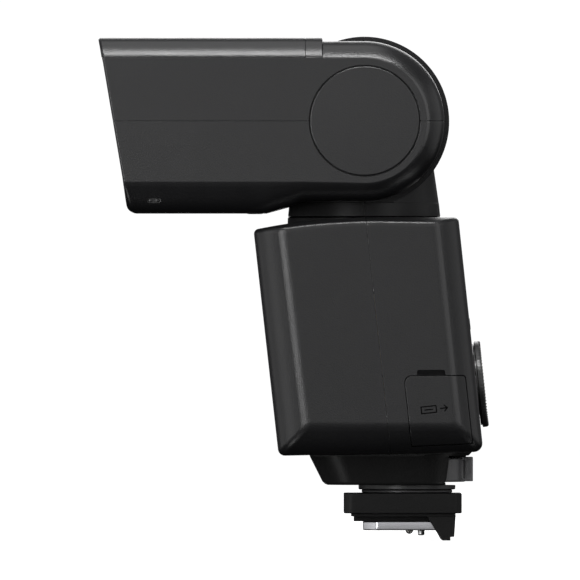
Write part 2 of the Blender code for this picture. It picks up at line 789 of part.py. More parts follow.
def under_housing(y):
    """Height of the housing's bottom face at y, less a small gap."""
    lean = math.radians(LEAN)
    ends = []
    for u, v, _ in HOUSING_FULL[-1:] + HOUSING_FULL[-2:-1]:
        ends.append((
            HOUSING_Y + u * math.cos(lean) - v * math.sin(lean),
            HOUSING_Z + u * math.sin(lean) + v * math.cos(lean),
        ))
    (y0, z0), (y1, z1) = ends
    return lerp(z0, z1, (y - y0) / (y1 - y0)) - 0.1


def foot_ring(half_x, front, rear, radius, height):
    outline = rounded((
        (-half_x, front, radius), (half_x, front, radius),
        (half_x, rear, radius * 1.3), (-half_x, rear, radius * 1.3),
    ), 4)
    return [(x, y, height if height else under_housing(y)) for x, y in outline]


def build_foot(base, paints):
    plastic = paints["foot"]
    housing = loft("foot_housing", [
        foot_ring(13.8, -17.6, 14.0, 6.5, 10.4),
        foot_ring(14.4, -18.4, 14.0, 7.0, 11.2),
        foot_ring(17.0, -21.3, 15.0, 8.0, 17.0),
        foot_ring(17.0, -21.3, 15.9, 8.0, 0),
    ], parent=base, material=plastic)
    cut(housing,
        prism("lever_gap", [(10.5, 15.6), (9.7, 10.0), (30, 10.0), (30, 15.6)],
              "X", -30, 30, parent=base),
        box("lever_sweep", (-9.0, 10.5, 15.0), (30, 30, 17.1), parent=base),
        rod("lock_pocket", LOCK_R + 0.35, 10.8, 16.9, steps=40, parent=base,
            at=(0, LOCK_Y, 0)),
        prism("tab_sweep", [(0, 0)] + arc((0, 0), LOCK_R + 2.1, 32, 90, 8), "Z",
              10.8, 16.9, parent=base, at=(0, LOCK_Y, 0)),
        rod("post_hole", 8.8, 5, 14, parent=base, at=(0, LOCK_Y, 0)))

    profile = ((0, BLOCK_TOP + 0.05), (10.4, BLOCK_TOP + 0.05), (10.4, 9.3),
               (11.1, 9.3), (11.1, 10.3), (8.5, 10.3), (8.5, 16.7), (0, 16.7))
    turned("foot_collar", profile, steps=32, parent=base, at=(0, LOCK_Y, 0),
           material=paints["neck"])

    lock = frame("lock_axis", (0, LOCK_Y, 0), base)
    lever = ring("lock_lever", 8.8, LOCK_R, 11.05, 16.55, steps=40, parent=lock,
                 material=plastic)
    tab = prism("lever_tab", rectangle(-5.5, LOCK_R - 1.5, 5.5, 15.1, 0.6, 2),
                "Z", 11.2, 16.75, parent=lock)
    join(lever, tab)

    outline = rectangle(-12.6, -13.5, 12.6, 13.5, 2.2, 3)
    block = prism("shoe_block", outline, "Z", BLOCK_BOTTOM, BLOCK_TOP, parent=base,
                  material=plastic)
    cut(block, *pin_ways("block", 3.0, 10.0, base))

    skirt = prism("shoe_skirt", rectangle(-10.8, -11.8, 10.8, 12.1, 1.0, 2), "Z",
                  3.2, 3.85, parent=base, material=plastic)
    neck = prism("shoe_neck", rectangle(-6.2, -11.2, 6.2, 11.0, 0.5, 2), "Z",
                 PLATE_TOP + 0.05, 3.5, parent=base)
    drop = [(5.5, 3.4), (8.6, -1.9), (9.1, -2.3), (10.9, -2.3), (10.9, -1.5),
            (11.8, -1.45), (12.1, 3.4)]
    lip = prism("skirt_lip", drop, "X", -10.5, 10.5, parent=base)
    join(skirt, neck, lip)
    cut(skirt,
        box("plate_slot", (-PLATE_HALF_X - 0.15, -15, -0.1),
            (PLATE_HALF_X + 0.15, PLATE_HALF_Y + 0.1, PLATE_TOP + 0.04), parent=base),
        box("rail_slot_1", (6.25, -15, PLATE_TOP - 1.0), (9.5, 8.0, 3.19), parent=base),
        box("rail_slot_2", (-9.5, -15, PLATE_TOP - 1.0), (-6.25, 8.0, 3.19),
            parent=base),
        *pin_ways("skirt", -5.0, 5.0, base))

    rear_x = PLATE_HALF_X
    front = PLATE_HALF_Y
    outline = [(-6.6, -front), (6.6, -front), (8.9, -6.6), (rear_x, -5.5),
               (rear_x, front), (-rear_x, front), (-rear_x, -5.5), (-8.9, -6.6)]
    plate = prism("foot_plate", outline, "Z", 0, PLATE_TOP, parent=base,
                  material=paints["foot_metal"])
    cut(plate, prism("insulator_hole", insulator_outline(3.9), "Z", -1, 3,
                     parent=base))
    insulator = prism("contact_insulator", insulator_outline(3.8), "Z", 0.05,
                      PLATE_TOP, parent=base, material=paints["inner"])
    cut(insulator, *pin_ways("insulator", -1, 3, base))

    for k, (x, y) in enumerate(((6.4, -5.6), (-6.4, -5.6), (6.4, 6.2), (-6.4, 6.2))):
        cut(plate, rod(f"screw_seat_{k}", 1.55, -1, 0.8, steps=16, parent=base,
                       at=(x, y, 0)),
            rod(f"screw_hole_{k}", 0.85, -1, 3, steps=12, parent=base, at=(x, y, 0)))
        screw = turned(f"foot_screw_{k + 1}",
                       ((0, 0.05), (1.4, 0.05), (1.4, 0.7), (0.7, 0.7), (0.7, 1.95),
                        (0, 1.95)),
                       steps=16, parent=base, at=(x, y, 0), material=paints["steel"])
        cut(screw, box(f"screw_slot_{k}", (x - 1.0, y - 0.2, -1), (x + 1.0, y + 0.2, 0.4),
                       parent=base))

    contact = frame("contact_slide", (0, CONTACT_Y, 0), base)
    turned("shoe_contact",
           ((0, -0.92), (0.5, -0.82), (0.84, -0.4), (0.9, 0.1), (0.9, 5.0),
            (0, 5.0)), steps=16, parent=contact, material=paints["brass"])
    pin = frame("pin_slide", (0, PIN_Y, 0), base)
    turned("lock_pin", ((0, -1.25), (0.55, -1.25), (0.8, -1.0), (0.8, 5.0), (0, 5.0)),
           steps=16, parent=pin, material=paints["steel"])


def insulator_outline(radius):
    """A rounded slot that holds the contact and the lock pin."""
    return (arc((0, CONTACT_Y - 0.6), radius, 180, 360, 8)
            + arc((0, PIN_Y - 0.6), radius, 0, 180, 8))


def pin_ways(tag, low, high, base):
    """Bores for the centre contact and the lock pin."""
    return [
        rod(f"{tag}_contact_way", 1.1, low, high, steps=16, parent=base,
            at=(0, CONTACT_Y, 0)),
        rod(f"{tag}_pin_way", 1.05, low, high, steps=16, parent=base,
            at=(0, PIN_Y, 0)),
    ]


def make_paints():
    return {
        "head": paint("head", (0.040, 0.040, 0.042), 0.5),
        "housing": paint("housing", (0.034, 0.034, 0.036), 0.5),
        "neck": paint("neck", (0.030, 0.030, 0.031), 0.45),
        "foot": paint("foot", (0.014, 0.014, 0.014), 0.5),
        "button": paint("button", (0.02, 0.02, 0.021), 0.6),
        "gloss_black": paint("gloss_black", (0.01, 0.01, 0.011), 0.2),
        "inner": paint("inner", (0.05, 0.05, 0.05), 0.6),
        "lens": paint("lens", (0.8, 0.82, 0.82), 0.1),
        "glass": paint("glass", (0.85, 0.87, 0.88), 0.05),
        "card": paint("card", (0.85, 0.85, 0.84), 0.5),
        "red_window": paint("red_window", (0.12, 0.01, 0.012), 0.15),
        "foot_metal": paint("foot_metal", (0.6, 0.6, 0.62), 0.3, 1.0),
        "steel": paint("steel", (0.5, 0.5, 0.5), 0.35, 1.0),
        "mirror": paint("mirror", (0.85, 0.85, 0.85), 0.1, 1.0),
        "brass": paint("brass", (0.7, 0.5, 0.2), 0.3, 1.0),
        "board": paint("board", (0.02, 0.12, 0.05), 0.5),
        "capacitor": paint("capacitor", (0.02, 0.03, 0.08), 0.4),
        "cell": paint("cell", (0.1, 0.35, 0.2), 0.4),
        "rubber": paint("rubber", (0.015, 0.015, 0.015), 0.7),
    }


def main():
    clear_scene()
    paints = make_paints()
    base = frame("base", (0, 0, 0))
    lean = frame("lean", (0, HOUSING_Y, HOUSING_Z), base, LEAN)
    pan = frame("pan_axis", (0, PAN_Y, 0), base)
    pivot = frame("tilt_axis", (0, 0, TILT_Z), pan)
    build_head(pivot, paints)
    build_panels(pivot, paints)
    build_zoom(pivot, paints)
    build_neck(pivot, paints)
    build_housing(lean, base, paints)
    build_controls(lean, paints)
    build_inside(lean, paints)
    build_covers(lean, paints)
    build_foot(base, paints)


main()
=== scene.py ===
"""Looks of the speedlight flash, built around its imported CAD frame.

Outer shells are modelled again here at a fine resolution, from the same driving
sizes as the CAD, and get soft edges. Other pieces are refined copies of their
CAD solids, and pieces deep inside keep their CAD solid with a better material.
All sizes are in millimetres; MM turns them into the frame's metres.
"""

import math

import bmesh
import bpy
from mathutils import Matrix, Vector


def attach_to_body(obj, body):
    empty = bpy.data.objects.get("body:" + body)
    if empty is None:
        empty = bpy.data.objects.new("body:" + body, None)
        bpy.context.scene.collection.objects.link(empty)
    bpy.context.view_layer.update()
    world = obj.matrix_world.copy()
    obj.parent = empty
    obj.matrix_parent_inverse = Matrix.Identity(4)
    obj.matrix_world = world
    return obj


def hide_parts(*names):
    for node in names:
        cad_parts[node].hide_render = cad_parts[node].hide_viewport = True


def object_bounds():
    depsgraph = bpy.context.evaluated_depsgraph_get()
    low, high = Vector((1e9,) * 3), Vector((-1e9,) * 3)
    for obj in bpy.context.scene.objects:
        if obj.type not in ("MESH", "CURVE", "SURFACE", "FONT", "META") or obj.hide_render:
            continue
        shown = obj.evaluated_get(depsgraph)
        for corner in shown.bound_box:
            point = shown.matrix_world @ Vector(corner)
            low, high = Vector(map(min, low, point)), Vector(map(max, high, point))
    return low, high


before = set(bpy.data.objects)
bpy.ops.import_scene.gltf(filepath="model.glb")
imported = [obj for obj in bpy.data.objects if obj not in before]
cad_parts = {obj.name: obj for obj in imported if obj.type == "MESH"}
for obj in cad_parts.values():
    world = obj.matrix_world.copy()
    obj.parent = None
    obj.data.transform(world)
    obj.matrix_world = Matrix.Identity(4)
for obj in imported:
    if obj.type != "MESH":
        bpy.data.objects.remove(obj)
CAD_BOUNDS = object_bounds()

MM = 0.001
FAR = 80.0  # past the object on every side
FINE = 144  # steps around a large round piece
SEAM = 0.04  # parting line between two shells
FIT = 0.3  # clearance of a shaft in its bore

# The neck's axis and the tilt axis
PAN_Y = -8.8
TILT_Z = 93.5

# Lamp head, measured from the tilt axis
HEAD_HALF = 34.0
HEAD_TOP = 19.0
HEAD_BOTTOM = -20.9
HEAD_CREASE_TOP = 14.5
HEAD_CREASE_BOTTOM = -14.0
HEAD_FRONT_Y = -60.745
HEAD_SLANT = 9.6
HEAD_EDGE = 5.5
CHEEK_R = 18.2
CHEEK_CREASE_R = 14.3
RAMP_Y = -22.4
NOTCH_Y = -9.7
HEAD_WALL = 1.7
HEAD_CREASE_WALL = 1.2
LAMP_ROOM = 4.0  # depth of the bezel and the lens
COVER_REAR_Y = -13.5
BULKHEAD_Y = -22.5
CAP_R = 12.5
LENS_MIDDLE = -3.0
LENS_LOW = -14.3
LENS_HIGH = 13.4
LENS_HALF = 29.8
LENS_RIB = 0.7
PARABOLA_DEPTH = 12.0
TUBE_Y = -5.4

# Drum and neck
DRUM_R = 19.395
DRUM_HALF = 15.7
SLOT_HALF = 16.0
NECK_R = 17.5
NECK_BOTTOM = -21.6
NECK_DISC_TOP = -18.6
NECK_HALF_Y = 17.3
TILT_MAX = 150.0
TILT_SHAFT_R = 8.0
COLLAR_TOP = 71.55
COLLAR_LIP_R = 16.9
COLLAR_BORE_R = 7.4

# Main housing, in its leaning frame
LEAN = 6.08
HOUSING_Y = -7.9
HOUSING_Z = 44.5
HOUSING_HALF = 34.699
HOUSING_EDGE = 7.0
HOUSING_WALL = 1.6
REAR_Y = 23.25
HOUSING_SEAM_Y = 2.2
HOUSING_ENDS_Y = 14.0  # outline corners past this belong to the front or rear face
HOUSING_FULL = (  # outline in the middle of the width: y, z, corner radius
    (-23.52, 26.9, 1.2),
    (-15.8, 27.5, 90.0),
    (-6.4, 27.5, 90.0),
    (2.1, 27.03, 90.0),
    (23.25, 24.78, 1.2),
    (23.25, -29.03, 2.0),
    (-23.27, -24.98, 1.6),
)
HOUSING_SIDE = (  # outline of the flat side face
    (-16.9, 26.5, 1.2),
    (-11.5, 26.6, 110.0),
    (-6.3, 26.5, 120.0),
    (2.1, 26.05, 110.0),
    (17.8, 24.1, 1.2),
    (17.9, -22.6, 1.6),
    (-16.2, -18.9, 1.2),
)
DOOR_HINGE_Y = 13.0
WHEEL_Z = -13.7
WHEEL_R = 9.9
WHEEL_BORE_R = 4.7
WHEEL_TEETH = 74
BUTTON_ROW_Z = 0.3
MARK_HEIGHT = 0.03
CELL_R = 7.1
CELL_LENGTH = 50.5
CELL_PITCH = 14.5
CELL_X = -2.0
BAY_Y = -1.6
BAY_Z = -4.6

# Foot
LOCK_Y = 1.0
LOCK_R = 13.5
BLOCK_TOP = 8.5
CONTACT_Y = 1.56
CONTACT_R = 0.9
CONTACT_TIP = -0.92
PIN_Y = 4.25

# Looks, and the studio in metres
GRAIN_SIZE = 0.30  # of moulded plastic, in millimetres
TARGET = Vector((0.0, -0.0258, 0.055))
CAMERA_DISTANCE = 5.0
SEEN_WIDTH = 0.1324
LIGHTS = (  # name, azimuth, elevation, distance, width, height, radiance
    ("key", 0, 56, 0.8, 0.62, 0.10, 37.0),
    ("overhead", 0, 90, 0.9, 0.62, 0.50, 1.4),
    ("front_edge", -28, 6, 0.9, 0.20, 0.45, 12.0),
    ("front_side", -66, 4, 0.9, 0.44, 0.85, 1.8),
    ("front", -99, 6, 0.9, 0.62, 0.85, 0.8),
    ("rear_side", 41, 12, 0.9, 0.52, 0.8, 2.0),
    ("rear", 94, 4, 0.9, 0.8, 0.85, 0.6),
    ("fill", 0, 12, 1.6, 1.1, 1.15, 0.94),
    ("low", 0, -24, 1.0, 0.5, 0.2, 0.15),
    ("far_side", 180, 22, 1.2, 0.9, 0.6, 2.6),
    ("low_front", -40, -48, 0.9, 0.24, 0.30, 3.4),
    ("low_rear", 72, -50, 0.9, 0.30, 0.25, 1.5),
)
ROOM = (  # share of the room's height, level of grey
    (0.0, 0.004),
    (0.42, 0.01),
    (0.50, 0.12),
    (0.75, 0.20),
    (1.0, 0.30),
)

# Places of the pieces' own frames, in millimetres
BASE = Matrix.Identity(4)
LEANING = (Matrix.Translation((0, HOUSING_Y, HOUSING_Z)) @ Matrix.Rotation(math.radians(LEAN), 4, "X"))
KEYS = LEANING @ Matrix.Translation((0, REAR_Y, 0))
WHEEL = KEYS @ Matrix.Translation((0, 0, WHEEL_Z))
PIVOT = Matrix.Translation((0, PAN_Y, TILT_Z))


# ---- outlines


def lerp(a, b, share):
    return a + (b - a) * share


def arc(centre, radius, start, end, steps):
    """Points of an arc in a plane, angles in degrees."""
    angles = [math.radians(lerp(start, end, i / steps)) for i in range(steps + 1)]
    return [(centre[0] + radius * math.cos(a), centre[1] + radius * math.sin(a)) for a in angles]


def rounded(corners, steps=6):
    """A closed outline with each corner (u, v, radius) turned into an arc."""
    points = []
    count = len(corners)
    for i, (u, v, radius) in enumerate(corners):
        here = Vector((u, v))
        back = (Vector(corners[i - 1][:2]) - here).normalized()
        ahead = (Vector(corners[(i + 1) % count][:2]) - here).normalized()
        if radius <= 0:
            points.append((u, v))
            continue
        half = back.angle(ahead) / 2
        reach = radius / math.tan(half)
        centre = here + (back + ahead).normalized() * (radius / math.sin(half))
        first = here + back * reach - centre
        last = here + ahead * reach - centre
        turn = first.angle_signed(last)
        for k in range(steps + 1):
            spun = first.copy()
            spun.rotate(Matrix.Rotation(-turn * k / steps, 2))
            points.append(tuple(centre + spun))
    return points


def rectangle(u_low, v_low, u_high, v_high, radius=0.0):
    corners = ((u_low, v_low), (u_high, v_low), (u_high, v_high), (u_low, v_high))
    return rounded([(u, v, radius) for u, v in corners])


# ---- solids


def linked(name, data):
    """A new object in the scene."""
    obj = bpy.data.objects.new(name, data)
    bpy.context.scene.collection.objects.link(obj)
    return obj


def solid(name, vertices, faces, place=BASE):
    """One closed mesh object, given in millimetres in the frame called place."""
    mesh = bpy.data.meshes.new(name)
    mesh.from_pydata([(place @ Vector(p)) * MM for p in vertices], [], faces)
    work = bmesh.new()
    work.from_mesh(mesh)
    bmesh.ops.recalc_face_normals(work, faces=work.faces)
    work.to_mesh(mesh)
    work.free()
    return linked(name, mesh)


def loft(name, rings, place=BASE):
    """A closed solid through rings of equally many points, capped at both ends."""
    size = len(rings[0])
    vertices = [p for ring in rings for p in ring]
    faces = [list(range(size)), list(range(len(vertices) - size, len(vertices)))]
    for r in range(len(rings) - 1):
        for i in range(size):
            j = (i + 1) % size
            low, high = r * size, (r + 1) * size
            faces.append([low + i, low + j, high + j, high + i])
    return solid(name, vertices, faces, place)


def prism(name, outline, axis, low, high, place=BASE):
    """An outline of (y, z), (x, z) or (x, y), extruded along the axis that it lacks."""
    at = "XYZ".index(axis)
    rings = [[(*p[:at], h, *p[at:]) for p in outline] for h in (low, high)]
    return loft(name, rings, place)


def box(name, low, high, place=BASE):
    return prism(name, rectangle(*low[:2], *high[:2]), "Z", low[2], high[2], place)


def slab(name, axis, low, high, place):
    """Everything between two heights on one axis."""
    return prism(name, rectangle(-FAR, -FAR, FAR, FAR), axis, low, high, place)


def both_sides(near, far):
    """The two stretches of X, right and left of the middle, between two distances."""
    return (-far, -near), (near, far)


def turned(name, profile, axis="Z", steps=64, at=(0, 0, 0), place=BASE, swell=None):
    """A solid of revolution from a closed list of (radius, height).

    swell(row, step) gives what to add to a point's radius and height, for teeth.
    """
    turn = {
        "X": Matrix.Rotation(math.pi / 2, 3, "Y"),
        "Y": Matrix.Rotation(-math.pi / 2, 3, "X"),
        "Z": Matrix.Identity(3),
    }[axis]
    vertices, rows = [], []
    for number, (radius, height) in enumerate(profile):
        row = []
        for k in range(steps if radius > 0 else 1):
            a = 2 * math.pi * k / steps
            wide, high = swell(number, k) if swell else (0, 0)
            r = radius + wide
            spot = Vector((r * math.cos(a), r * math.sin(a), height + high))
            row.append(len(vertices))
            vertices.append(turn @ spot + Vector(at))
        rows.append(row)
    faces = []
    for a, b in zip(rows, rows[1:] + rows[:1]):
        for k in range(steps):
            n = (k + 1) % steps
            corners = (a[k % len(a)], b[k % len(b)], b[n % len(b)], a[n % len(a)])
            face = list(dict.fromkeys(corners))
            if len(face) > 2:
                faces.append(face)
    return solid(name, vertices, faces, place)


def rod(name, radius, low, high, **kept):
    return turned(name, ((0, low), (radius, low), (radius, high), (0, high)), **kept)


def ring(name, inner, outer, low, high, **kept):
    profile = ((inner, low), (outer, low), (outer, high), (inner, high))
    return turned(name, profile, **kept)


def swap_mesh(obj, mesh):
    old = obj.data
    obj.data = mesh
    bpy.data.meshes.remove(old)
    return obj


def combine(target, operation, tools):
    """Applies Booleans to the target at once and removes the tools."""
    for tool in tools:
        modifier = target.modifiers.new(tool.name, "BOOLEAN")
        modifier.operation = operation
        modifier.object = tool
    scene_graph = bpy.context.evaluated_depsgraph_get()
    result = bpy.data.meshes.new_from_object(target.evaluated_get(scene_graph))
    target.modifiers.clear()
    swap_mesh(target, result)
    for tool in tools:
        bpy.data.objects.remove(tool)
    return target


def cut(target, *tools):
    return combine(target, "DIFFERENCE", tools)


def keep(target, *tools):
    return combine(target, "INTERSECT", tools)


def join(target, *tools):
    return combine(target, "UNION", tools)


def bevelled(obj, width, segments=2, sharp=28.0, weld=0.004):
    """Cleans a mesh and rounds the edges that turn by more than sharp degrees."""
    work = bmesh.new()
    work.from_mesh(obj.data)
    bmesh.ops.remove_doubles(work, verts=work.verts, dist=weld * MM)
    bmesh.ops.dissolve_degenerate(work, edges=work.edges, dist=weld * MM)
    limit = math.radians(sharp)
    if width > 0:
        edges = [e for e in work.edges if len(e.link_faces) == 2 and e.calc_face_angle() > limit]
        bmesh.ops.bevel(work, geom=edges, offset=width * MM, offset_type="OFFSET",
                        segments=segments, profile=0.5, affect="EDGES",
                        clamp_overlap=False, miter_outer="ARC", spread=width * MM)
    mesh = bpy.data.meshes.new(obj.name)
    work.to_mesh(mesh)
    work.free()
    return swap_mesh(obj, mesh)


def soften(obj, width=0.0, segments=2, sharp=28.0, weld=0.004):
    """Bevels a finished mesh and shades it smooth."""
    mesh = bevelled(obj, width, segments, sharp, weld).data
    mesh.shade_smooth()
    mesh.set_sharp_from_angle(angle=math.radians(40))
    weights = obj.modifiers.new("even_normals", "WEIGHTED_NORMAL")
    weights.keep_sharp = True
    weights.weight = 80
    return obj


def refined(node, width, segments=2):
    """A copy of a CAD solid with merged flat faces and soft edges."""
    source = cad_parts[node].data
    work = bmesh.new()
    work.from_mesh(source)
    bmesh.ops.remove_doubles(work, verts=work.verts, dist=0.001 * MM)
    bmesh.ops.dissolve_limit(work, angle_limit=math.radians(0.5), verts=work.verts, edges=work.edges)
    mesh = bpy.data.meshes.new(node)
    work.to_mesh(mesh)
    work.free()
    normals = mesh.attributes.get("custom_normal")
    if normals:
        mesh.attributes.remove(normals)
    return soften(linked(f"{node}_fine", mesh), width, segments, 24.0)


# ---- materials


def add(tree, kind, settings=None, **sockets):
    """Adds a shader node. A socket's value may be a number, a tuple or a link."""
    made = tree.nodes.new(f"ShaderNode{kind}")
    for key, value in (settings or {}).items():
        setattr(made, key, value)
    fill(tree, made, **sockets)
    return made


def fill(tree, node, **sockets):
    for key, value in sockets.items():
        attach(tree, node.inputs[key.replace("_", " ")], value)


def attach(tree, socket, value):
    if isinstance(value, bpy.types.NodeSocket):
        tree.links.new(value, socket)
    else:
        socket.default_value = value


def maths(tree, operation, *values):
    made = tree.nodes.new("ShaderNodeMath")
    made.operation = operation
    for socket, value in zip(made.inputs, values):
        attach(tree, socket, value)
    return made.outputs[0]


def span(tree, value, low, high, to_low=0.0, to_high=1.0):
    made = add(tree, "MapRange", Value=value, From_Min=low, From_Max=high,
               To_Min=to_low, To_Max=to_high)
    return made.outputs[0]


def mixed(tree, share, a, b):
    """A colour between a and b."""
    made = tree.nodes.new("ShaderNodeMix")
    made.data_type = "RGBA"
    attach(tree, made.inputs[0], share)
    attach(tree, made.inputs[6], a)
    attach(tree, made.inputs[7], b)
    return made.outputs[2]


def shade(colour, factor):
    return (*[min(c * factor, 1.0) for c in colour], 1.0)


def noise(tree, where, scale, detail=2.0, roughness=0.5):
    made = add(tree, "TexNoise", Vector=where, Scale=scale, Detail=detail, Roughness=roughness)
    return made.outputs[0]


def cells(tree, where, scale):
    made = add(tree, "TexVoronoi", Vector=where, Scale=scale)
    return made.outputs["Distance"]


def new_material(name):
    material = bpy.data.materials.new(name)
    material.use_nodes = True
    tree = material.node_tree
    where = add(tree, "TexCoord").outputs["Object"]
    return material, tree, tree.nodes["Principled BSDF"], where


def edge_mask(tree, radius=0.5):
    """1 along edges, 0 on flat stretches, from a rounded normal."""
    round_normal = add(tree, "Bevel", {"samples": 4}, Radius=radius * MM).outputs[0]
    true_normal = add(tree, "NewGeometry").outputs["Normal"]
    dot = add(tree, "VectorMath", {"operation": "DOT_PRODUCT"})
    tree.links.new(round_normal, dot.inputs[0])
    tree.links.new(true_normal, dot.inputs[1])
    return span(tree, dot.outputs["Value"], 0.985, 0.86)


def grey(level, blue=1.0):
    return (level, level, level * blue)


def plastic(name, colour, roughness, grain=0.6, wear=0.35, ior=1.47, slot=None):
    """Moulded plastic with a spark-eroded grain, handling marks and edge wear."""
    material, tree, shader, where = new_material(name)
    broad = noise(tree, where, 45, 4)
    fine = noise(tree, where, 1 / (GRAIN_SIZE * MM), 3)
    pits = cells(tree, where, 0.8 / (GRAIN_SIZE * MM))
    tone = mixed(tree, broad, shade(colour, 0.86), shade(colour, 1.14))
    speck = span(tree, fine, 0.40, 0.64, 0.0, 0.5)
    tone = mixed(tree, speck, tone, shade(colour, 1.35))
    worn = maths(tree, "MULTIPLY", edge_mask(tree), span(tree, broad, 0.35, 0.65, 0.4, 1.0))
    worn = maths(tree, "MULTIPLY", worn, wear)
    tone = mixed(tree, worn, tone, shade(colour, 2.1))
    marks = noise(tree, where, 160, 3)
    rough = span(tree, marks, 0.2, 0.8, roughness - 0.03, roughness + 0.03)
    rough = maths(tree, "SUBTRACT", rough, maths(tree, "MULTIPLY", worn, 0.22))
    height = maths(tree, "ADD", maths(tree, "MULTIPLY", pits, 0.7), fine)
    bump = add(tree, "Bump", Strength=grain, Distance=0.03 * MM, Height=height)
    fill(tree, shader, Base_Color=tone, Roughness=rough, Normal=bump.outputs[0], IOR=ior)
    return slot or name, material


def polished(name, colour, roughness, transmission=0.0, ior=1.49, slot=None):
    """Glossy or clear plastic and glass, with faint smudges and fine scratches."""
    material, tree, shader, where = new_material(name)
    smears = noise(tree, where, 130, 4)
    stretched = add(tree, "Mapping", Vector=where, Scale=(9000, 300, 700)).outputs[0]
    scratches = noise(tree, stretched, 1.0, 2)
    rough = span(tree, smears, 0.35, 0.75, roughness, roughness + 0.06)
    rough = maths(tree, "ADD", rough, span(tree, scratches, 0.68, 0.8, 0.0, 0.1))
    tone = mixed(tree, smears, shade(colour, 0.93), shade(colour, 1.05))
    bump = add(tree, "Bump", Strength=0.05, Distance=0.01 * MM, Height=smears)
    fill(tree, shader, Base_Color=tone, Roughness=rough, Normal=bump.outputs[0],
         Transmission_Weight=transmission, IOR=ior)
    return slot or name, material


def metal(name, colour, roughness, grain=(60, 60, 4000), slot=None):
    """Metal with brushing along the directions whose grain scale is low."""
    material, tree, shader, where = new_material(name)
    stretched = add(tree, "Mapping", Vector=where, Scale=grain).outputs[0]
    lines = noise(tree, stretched, 1.0, 4, 0.6)
    broad = noise(tree, where, 150, 3)
    tone = mixed(tree, span(tree, lines, 0.3, 0.7), shade(colour, 0.86), shade(colour, 1.08))
    tone = mixed(tree, span(tree, broad, 0.45, 0.75, 0.0, 0.35), tone, shade(colour, 0.8))
    worn = maths(tree, "MULTIPLY", edge_mask(tree, 0.25), 0.3)
    tone = mixed(tree, worn, tone, shade(colour, 1.35))
    rough = span(tree, lines, 0.3, 0.7, roughness - 0.05, roughness + 0.09)
    bump = add(tree, "Bump", Strength=0.18, Distance=0.01 * MM, Height=lines)
    fill(tree, shader, Base_Color=tone, Roughness=rough, Normal=bump.outputs[0], Metallic=1.0)
    return slot or name, material


def green_board(name):
    """Green solder mask over copper traces, with bright pads."""
    material, tree, shader, where = new_material(name)
    made = add(tree, "TexVoronoi", {"feature": "DISTANCE_TO_EDGE"}, Vector=where, Scale=420)
    traces = span(tree, made.outputs["Distance"], 0.03, 0.05)
    tone = mixed(tree, traces, (0.03, 0.20, 0.08, 1), (0.012, 0.09, 0.04, 1))
    dots = span(tree, cells(tree, where, 600), 0.12, 0.10)
    tone = mixed(tree, dots, tone, (0.6, 0.55, 0.4, 1))
    bump = add(tree, "Bump", Strength=0.3, Distance=0.03 * MM, Height=traces)
    fill(tree, shader, Base_Color=tone, Roughness=span(tree, dots, 0, 1, 0.42, 0.25),
         Normal=bump.outputs[0])
    return name, material


def make_paints():
    """Each paint is a record slot and a material, named alike unless slot differs."""
    paints = {
        "head": plastic("head_plastic", grey(0.004, 1.1), 0.30, ior=1.46),
        "housing": plastic("housing_plastic", grey(0.005, 1.08), 0.32, ior=1.40),
        "neck": plastic("neck_plastic", grey(0.007, 1.043), 0.45, 0.25, ior=1.26),
        # near-black material of the ring in the swivel gap: painted shade
        "gap_shade": plastic("gap_shade_black", grey(0.0006), 0.8, 0.1, ior=1.05, slot="cable_rubber"),
        "foot": plastic("foot_plastic", grey(0.009), 0.34, ior=1.28),
        "shoe": plastic("shoe_plastic", grey(0.006), 0.42, ior=1.2, slot="foot_plastic"),
        "key": plastic("key_plastic", grey(0.010, 1.05), 0.45, 0.2),
        "inner": plastic("inner_plastic", grey(0.035), 0.5),
        "print": plastic("printed_mark", grey(0.55), 0.5, 0.05, 0.1, slot="card_white"),
        # near-black fill for the symbol's engraved strokes: painted shade in the grooves
        "groove_shade": plastic("symbol_groove_shade", grey(0.001), 0.6, ior=1.08, slot="key_plastic"),
        "wheel": plastic("wheel_plastic", grey(0.012), 0.30, 0.1, slot="gloss_black"),
        "lever": plastic("lever_plastic", grey(0.055, 1.036), 0.38, slot="foot_plastic"),
        "card": plastic("card_plastic", grey(0.80, 0.9875), 0.45, 0.12, 0.0, slot="card_white"),
        "rubber": plastic("cable_rubber", grey(0.012), 0.6, 0.4),
        "gloss": polished("gloss_black", grey(0.008, 1.125), 0.1),
        "display": polished("display_cell", (0.055, 0.065, 0.055), 0.3, slot="inner_plastic"),
        "smoked": polished("smoked_glass", (0.30, 0.31, 0.32), 0.03, 1.0, slot="gloss_black"),
        "red": polished("red_window", (0.055, 0.004, 0.005), 0.06),
        "lens": polished("fresnel_plastic", (0.93, 0.95, 0.95), 0.10, 1.0, slot="clear_plastic"),
        "clear": polished("clear_plastic", (0.90, 0.93, 0.93), 0.05, 1.0),
        "glass": polished("tube_glass", (0.96, 0.97, 0.97), 0.02, 1.0, 1.47),
        "sleeve": polished("cell_sleeve", (0.06, 0.17, 0.11), 0.22, slot="cell_can"),
        "capacitor": polished("capacitor_sleeve", (0.012, 0.018, 0.05), 0.3, slot="capacitor_can"),
        "plate": metal("foot_plate_metal", grey(0.37, 1.04), 0.28, slot="foot_metal"),
        "steel": metal("steel", grey(0.50), 0.32),
        "mirror": metal("reflector_metal", grey(0.88), 0.12, (900, 40, 40)),
        "nickel": metal("nickel_plating", (0.40, 0.39, 0.37), 0.22, slot="brass"),
        "brass": metal("brass", (0.72, 0.52, 0.22), 0.28),
        "board": green_board("circuit_board"),
    }
    paints["collar"] = ("neck_plastic", paints["key"][1])
    return paints


def dress(piece, body, paint, *nodes):
    """Gives a piece its paint, its body and the CAD nodes it stands for."""
    slot, material = paint
    piece.data.materials.clear()
    piece.data.materials.append(material)
    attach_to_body(piece, body)
    if nodes:
        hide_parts(*nodes)
    return piece


def redress(node, body, paint, width, segments=2):
    """A refined copy of a CAD solid takes its place."""
    return dress(refined(node, width, segments), body, paint, node)


# ---- lamp head


